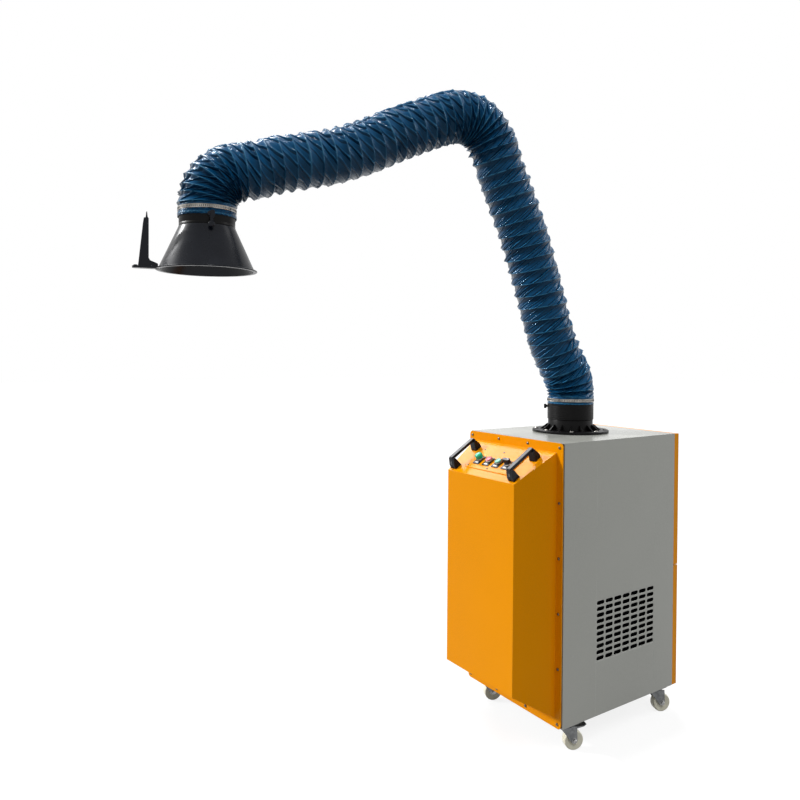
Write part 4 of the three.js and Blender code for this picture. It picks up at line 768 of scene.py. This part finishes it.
def build_swivel():
    """The part that turns in the collar, with fine grooves round it, and its lock knob"""
    grooved = [(81 - (0.45 if h % 7 in (0, 1) else 0.0), float(h)) for h in range(47, 97)]
    swivel = Shape().lathe([
        (70, 20.3), (73, 20.3), (73, 45.3), (80, 45.3), (81, 46.2), *grooved, (81, 98.6), (80, 100),
        (77.5, 100), (77.5, 126), (73, 126), (73, 47.3), (70, 47.3)], ARM_FRAME, 128, closed=True)
    swivel.object("swivel_ring", "collar", SATIN, "black_plastic", replaces=("collar_swivel",))

    turn = Matrix.Rotation(math.radians(-32), 4, "Z")
    spot = ARM_FRAME @ turn @ Matrix.Translation((81.3, 0, 90)) @ ALONG_X
    outline = []
    for i in range(40):
        angle = 2 * math.pi * i / 40
        r = 7.6 + 0.9 * math.cos(5 * angle)
        outline.append((r * math.cos(angle), r * math.sin(angle)))
    knob = Shape().prism(outline, 3.4, 12.2, spot)
    knob.lathe([(0, -7), (3, -7), (3, 0), (4.6, 0.2), (4.6, 3.6), (0, 3.6)], spot, 24)
    knob.object("lock_knob_grip", "lock_knob", BLACK, "black_plastic", bevel=0.8,
                replaces=("collar_lock_knob",))


worm_clamp("collar_clamp", "collar", 0, 109)
worm_clamp("hood_clamp", "hood_holder", HOOD_OUT, NECK_TOP - 17)
build_flange()
build_swivel()


# ---------------------------------------------------------------- hood
def build_hood():
    neck_foot = ARM_FRAME @ Matrix.Translation((HOOD_OUT, 0, NECK_BOTTOM))
    neck = Shape().lathe([
        (76, 0.6), (78.4, 0.6), (79, 1.2), (79, 6.6), (78.5, 7.4), (78.5, 9), (79, 9.8), (79, 59.4),
        (78.4, 60), (76, 60)], neck_foot, 128, closed=True)
    neck.object("neck_tube", "hood_holder", SATIN, "black_plastic", replaces=("hood_neck",))

    shell = Shape().lathe([
        (75.5, 16), (75.5, -1), (79.4, -0.2), (80.2, -1.4), (80.4, -3.2), (133.4, -119.6), (134.4, -121.4),
        (136, -121.9), (140.6, -122), (142, -122.8), (142, -125.2), (141.2, -126), (131.5, -126),
        (131, -124.8), (129.9, -122.5), (76.6, -4.6), (72.5, -3), (72.5, 16)], neck_foot, 160, closed=True)
    shell.object("hood_shell", "hood", BLACK, "black_plastic", smooth=28, replaces=("hood_cone",))

    # Cast handle: a flat lug on the rim and an upright blade with a pointed tip
    lug = Shape()
    lug.prism([(131, -13), (190, -13), *arc(190, 0, 13, -90, 90, 10), (131, 13)], -126, -119.5, neck_foot)
    lug.lathe([(0, -119.6), (5.6, -119.6), (5.6, -117.4), (4.6, -116.4), (0, -116)],
              neck_foot @ Matrix.Translation((194, 0, 0)), 24)
    lug.object("handle_lug", "hood", BLACK, "black_plastic", bevel=1.2, segments=3)
    upright = neck_foot @ Matrix.Rotation(math.pi / 2, 4, "X")
    blade = Shape().prism([
        (134.5, -122), (188, -122), (186.5, -112), (180, -50), (174.5, 2), (172.5, 15), (167.5, 16.5),
        (166, 32), (163.8, 33), (162.2, 17), (159.4, 14), (159.2, -96), (155.5, -103), (140, -109),
        (134.5, -112)], -6.5, 6.5, upright)
    blade.object("handle_blade", "hood", BLACK, "black_plastic", bevel=2.2, segments=3)

    # Damper: its plate and spindle, a round grip and a lever that ends in a ball
    spindle = neck_foot @ Matrix.Translation((0, 0, 25))
    parts = Shape()
    parts.lathe([(0, -1), (69.4, -1), (70, -0.5), (70, 0.5), (69.4, 1), (0, 1)], spindle @ ALONG_X, 64)
    parts.lathe([(0, -77), (4, -77), (4, 83), (0, 83)], spindle @ ALONG_Y, 24)
    grip = []
    for i in range(48):
        angle = 2 * math.pi * i / 48
        r = 10.2 + 1.5 * math.cos(3 * angle)
        grip.append((r * math.cos(angle), r * math.sin(angle)))
    parts.prism(grip, 81.8, 94.5, spindle @ ALONG_Y)
    parts.block(-4, 4, 93.8, 97.6, -29, 2, spindle)
    parts.lathe([(0, 90.2), (6.5, 91), (9, 94), (9, 98), (6.5, 100.6), (0, 101.2)],
                spindle @ Matrix.Translation((0, 0, -29)) @ ALONG_Y, 32)
    parts.object("damper_set", "damper_plate", BLACK, "black_plastic", bevel=0.5, replaces=("damper",))


build_hood()


# ---------------------------------------------------------------- controls on the sloping top
LAMP_X, STOP_X, START_X, SELECTOR_X = CONTROL_X = (-69, -23, 23, 69)
CONTROL_Y = -9


def on_slope(x, y, z=0):
    return SLOPE @ Matrix.Translation((x, y, z))


def build_panel():
    """The plate on the slope with its screws, the legend plates and the buttons' steel rims"""
    corners = [*arc(104, -52, 3, -90, 0), *arc(104, 48, 3, 0, 90), *arc(-104, 48, 3, 90, 180),
               *arc(-104, -52, 3, 180, 270)]
    plate = Shape().prism(corners, 0.3, 2.3, SLOPE)
    plate.object("control_panel", "cabinet", ORANGE, "orange_paint", bevel=0.5, replaces=("control_plate",))
    legends, inserts, bezels = Shape(), Shape(), Shape()
    y = CONTROL_Y
    for x in CONTROL_X:
        outline = [*arc(x + 13, y - 24, 2, -90, 0), *arc(x + 13, y + 13, 2, 0, 90),
                   *arc(x - 13, y + 13, 2, 90, 180), *arc(x - 13, y - 24, 2, 180, 270)]
        legends.prism(outline, 2.2, 5.0, SLOPE)
        inserts.block(x - 7, x + 7, y - 22, y - 16, 4.4, 5.35, SLOPE)
        bezels.lathe([(11.6, 4.6), (14.2, 4.8), (14.5, 5.6), (14.1, 8.4), (13.4, 9.9), (12.4, 10.3),
                      (11.6, 10.0), (11.5, 4.6)], on_slope(x, y), 64, closed=True)
    legends.object("legend_plates", "cabinet", BLACK, "black_plastic", bevel=0.4)
    inserts.object("legend_inserts", "cabinet", WHITE, "black_plastic", bevel=0.2)
    bezels.object("bezels", "cabinet", STEEL, "zinc")
    screws = Shape()
    for x, y in ((-96, -46), (96, -46), (-96, 42), (96, 42), (0, -46), (0, 42)):
        screws.pan_screw(3.0, 1.7, on_slope(x, y, 2.3))
    screws.object("panel_screws", "cabinet", SCREW, "zinc")


def build_buttons():
    """The ribbed lamp, the two push buttons and the selector with its white mark"""
    lamp_ribs = 24
    spot = on_slope(LAMP_X, CONTROL_Y)
    lamp = Shape().lathe([
        (0, -32), (11, -32), (11, 10.6), (12.5, 10.6), (12.5, 20.2), (12.1, 22.4), (11, 24.2), (9, 25.4),
        (5, 26.1), (0, 26.3)], spot, 64)
    for i in range(lamp_ribs):
        turn = Matrix.Rotation(2 * math.pi * i / lamp_ribs, 4, "Z")
        lamp.block(12.1, 12.9, -0.5, 0.5, 11.2, 20.8, spot @ turn)
    lamp.object("lamp_lens", "cabinet", GREEN_LENS, "green_lens", replaces=("signal_lamp",))

    for kind, x, material, finish in (
            ("stop", STOP_X, RED, "red_plastic"), ("start", START_X, GREEN, "green_plastic")):
        cap = Shape().lathe([
            (0, -32), (5, -32), (5, 5.4), (10.8, 5.6), (10.8, 12.2), (10.3, 12.9), (9.4, 13.0), (8.6, 12.6),
            (4, 12.3), (0, 12.2)], on_slope(x, CONTROL_Y), 64)
        cap.object(kind + "_cap", kind + "_push", material, finish, replaces=(kind + "_button",))

    spot = on_slope(SELECTOR_X, CONTROL_Y)
    grip = Shape().lathe([
        (0, -32), (5, -32), (5, 5.4), (10.8, 5.6), (10.8, 12.4), (10.0, 13.4), (0, 13.6)], spot, 64)
    grip.prism([*arc(9.5, 0, 6.2, -75, 75, 8), *arc(-9.5, 0, 6.2, 105, 255, 8)], 10.9, 25.5, spot)
    grip.object("selector_grip", "selector", BLACK, "black_plastic", bevel=1.0,
                replaces=("selector_switch",))
    mark = Shape().block(5.5, 13.4, -0.7, 0.7, 25.2, 25.8, spot)
    mark.object("selector_mark", "selector", WHITE, "black_plastic")


def build_handles():
    """Two grab handles: an arch between two wider posts, each with a sunk bolt"""
    half_bar, half_post = 8.5, 13.5
    arch = [(-66, 0.3), (-38, 0.3), (-47, 32), (47, 32), (38, 0.3), (66, 0.3), (66, 14), (56, 42),
            (-56, 42), (-66, 14)]
    for name, side in (("left_handle", -1), ("right_handle", 1)):
        spot = on_slope(side * 144, -11)
        upright = spot @ Matrix(((0, 0, 1, 0), (1, 0, 0, 0), (0, 1, 0, 0), (0, 0, 0, 1)))
        handle, bolts = Shape().prism(arch, -half_bar, half_bar, upright), Shape()
        for end in (-1, 1):
            post = [(end * 66, 0.3), (end * 38, 0.3), (end * 47, 33), (end * 56, 37.5), (end * 66, 14)]
            handle.prism(post[::end], -half_post, half_post, upright)
            lean = Matrix.Rotation(-end * math.radians(70), 4, "X")
            bolts.lathe([(0, 0), (4.2, 0), (4.2, 1.4), (3.4, 1.9), (2.2, 1.9), (2.0, 0.8), (0, 0.8)],
                        spot @ Matrix.Translation((0, end * 62.5, 22)) @ lean, 24)
        handle.object(name + "_grip", "cabinet", BLACK, "black_plastic", bevel=1.6, segments=3,
                      replaces=(name,))
        bolts.object(name + "_bolts", "cabinet", ZINC, "zinc")


build_panel()
build_buttons()
build_handles()


# ---------------------------------------------------------------- right side with its air slots
def build_grille():
    columns, rows, pitch_y, pitch_z, middle_y, middle_z = 7, 10, 42, 20, 23, 275
    half_length, slot_radius, lip, sheet = 36 / 2, 12.6 / 2, 0.7, 1.5
    low_y, high_y = middle_y - columns * pitch_y / 2, middle_y + columns * pitch_y / 2
    low_z, high_z = middle_z - rows * pitch_z / 2, middle_z + rows * pitch_z / 2
    inner, outer, top = SIDE - sheet, SIDE, TOP - 1.8
    panel = Shape()
    for y0, y1, z0, z1 in ((FRONT, low_y, 0, top), (high_y, REAR, 0, top), (low_y, high_y, 0, low_z),
                           (low_y, high_y, high_z, top)):
        panel.block(inner, outer, y0, y1, z0, z1)
    for y in (FRONT, REAR - sheet):
        panel.block(SIDE - 20, inner + 0.2, y, y + sheet, 0, top)

    # Each slot is a pill in a rectangle of sheet, whose border has a point for each of the pill's
    pill = (arc(half_length - slot_radius, 0, slot_radius, -90, 90, 8)
            + arc(slot_radius - half_length, 0, slot_radius, 90, 270, 8))
    flared = [(a * (1 + lip / half_length), b * (1 + lip / slot_radius)) for a, b in pill]
    count = len(pill)
    border = []
    for a, b in pill:
        reach = max(abs(a) / (pitch_y / 2), abs(b) / (pitch_z / 2))
        border.append((a / reach, b / reach))
    for y, z in ((1, -1), (1, 1), (-1, 1), (-1, -1)):
        corner = (y * pitch_y / 2, z * pitch_z / 2)
        nearest = min(range(count), key=lambda k: math.dist(border[k], corner))
        border[nearest] = corner
    rings = ((outer, flared), (outer - lip, pill), (inner, pill), (outer, border), (inner, border))
    faces = [(first * count + i, first * count + j, second * count + j, second * count + i)
             for i, j in ((i, (i + 1) % count) for i in range(count))
             for first, second in ((3, 0), (0, 1), (1, 2), (2, 4))]
    for column in range(columns):
        for row in range(rows):
            y = low_y + (column + 0.5) * pitch_y
            z = low_z + (row + 0.5) * pitch_z
            panel.add([(x, y + a, z + b) for x, ring in rings for a, b in ring], faces)
    panel.object("right_panel", "cabinet", GREY, "grey_paint", replaces=("right_side_panel",))
    # A near-black matt sheet just inside the slots: painted shade that makes them read dark
    screen = Shape().block(SIDE - 3.4, SIDE - 2.6, low_y - 6, high_y + 6, low_z - 6, high_z + 6)
    screen.object("grille_shade_sheet", "cabinet", SHADE_SHEET, "black_plastic")


build_grille()


# ---------------------------------------------------------------- flange screws, casters, gasket
def build_screws():
    """The cover screws round the front flange: four across and six down, shared at the corners"""
    inset = 14
    half, low, high = SIDE - inset, inset, TOP - inset
    spots = [(-half + 2 * half * i / 3, z) for i in range(4) for z in (low, high)]
    spots += [(x, low + (high - low) * i / 5) for i in range(1, 5) for x in (-half, half)]
    screws = Shape()
    for x, z in spots:
        screws.pan_screw(4.9, 3.1, Matrix.Translation((x, FLANGE_FRONT, z)) @ ALONG_MINUS_Y)
    screws.object("flange_screws", "cabinet", SCREW, "zinc")


def build_casters():
    """Each caster's tread, its axle bolt with covers and hex heads, and its swivel bearing's race"""
    half = [(4.6, 12.5), (9.6, 12.5), (10.6, 12), (11.4, 10.2), (12.6, 9.6), (14, 10), (22, 11), (25.5, 12),
            (28, 12.4), (29.3, 12.2), (30.8, 11), (31.5, 9), (31.5, 3)]
    tread = [(r, -h) for r, h in half] + [(r, h) for r, h in reversed(half)]
    for corner, (x, y) in CASTERS.items():
        name = corner + "_caster"
        plate = Matrix.Translation((x, y, 0))
        axle = plate @ Matrix.Rotation(CASTER_TURN, 4, "Z") @ Matrix.Translation(AXLE_PLACE)
        tyre = Shape().lathe(tread, axle @ ALONG_X, 96, closed=True)
        tyre.object(name + "_tyre", "wheel_" + corner, NYLON, "nylon", smooth=40,
                    replaces=(name + "_wheel",))
        bolt = Shape()
        for way in (ALONG_X, ALONG_MINUS_X):
            bolt.lathe([(0, 15.2), (9.2, 15.2), (9.2, 16.4), (8.6, 16.9), (0, 16.9)], axle @ way, 32)
            bolt.lathe([(0, 16.5), (6.9, 16.5), (6.9, 19.8), (6.0, 20.8), (0, 21)], axle @ way, 6)
        bolt.object(name + "_bolt", "fork_" + corner, BOLT, "zinc", bevel=0.3, smooth=25)
        race = Shape().lathe([(20.4, -12.9), (23.6, -12.4), (25.6, -10.6), (25.6, -8.6), (24.4, -7.6),
                              (20.4, -7.2)], plate, 64, closed=True)
        race.object(name + "_race", "cabinet", ZINC, "zinc")


build_screws()
build_casters()
gasket = Shape().block(-221, 221, -279.4, -275.6, 884, 889.2)
gasket.object("gasket_bead", "cabinet", RUBBER, "gasket_rubber", bevel=0.8)
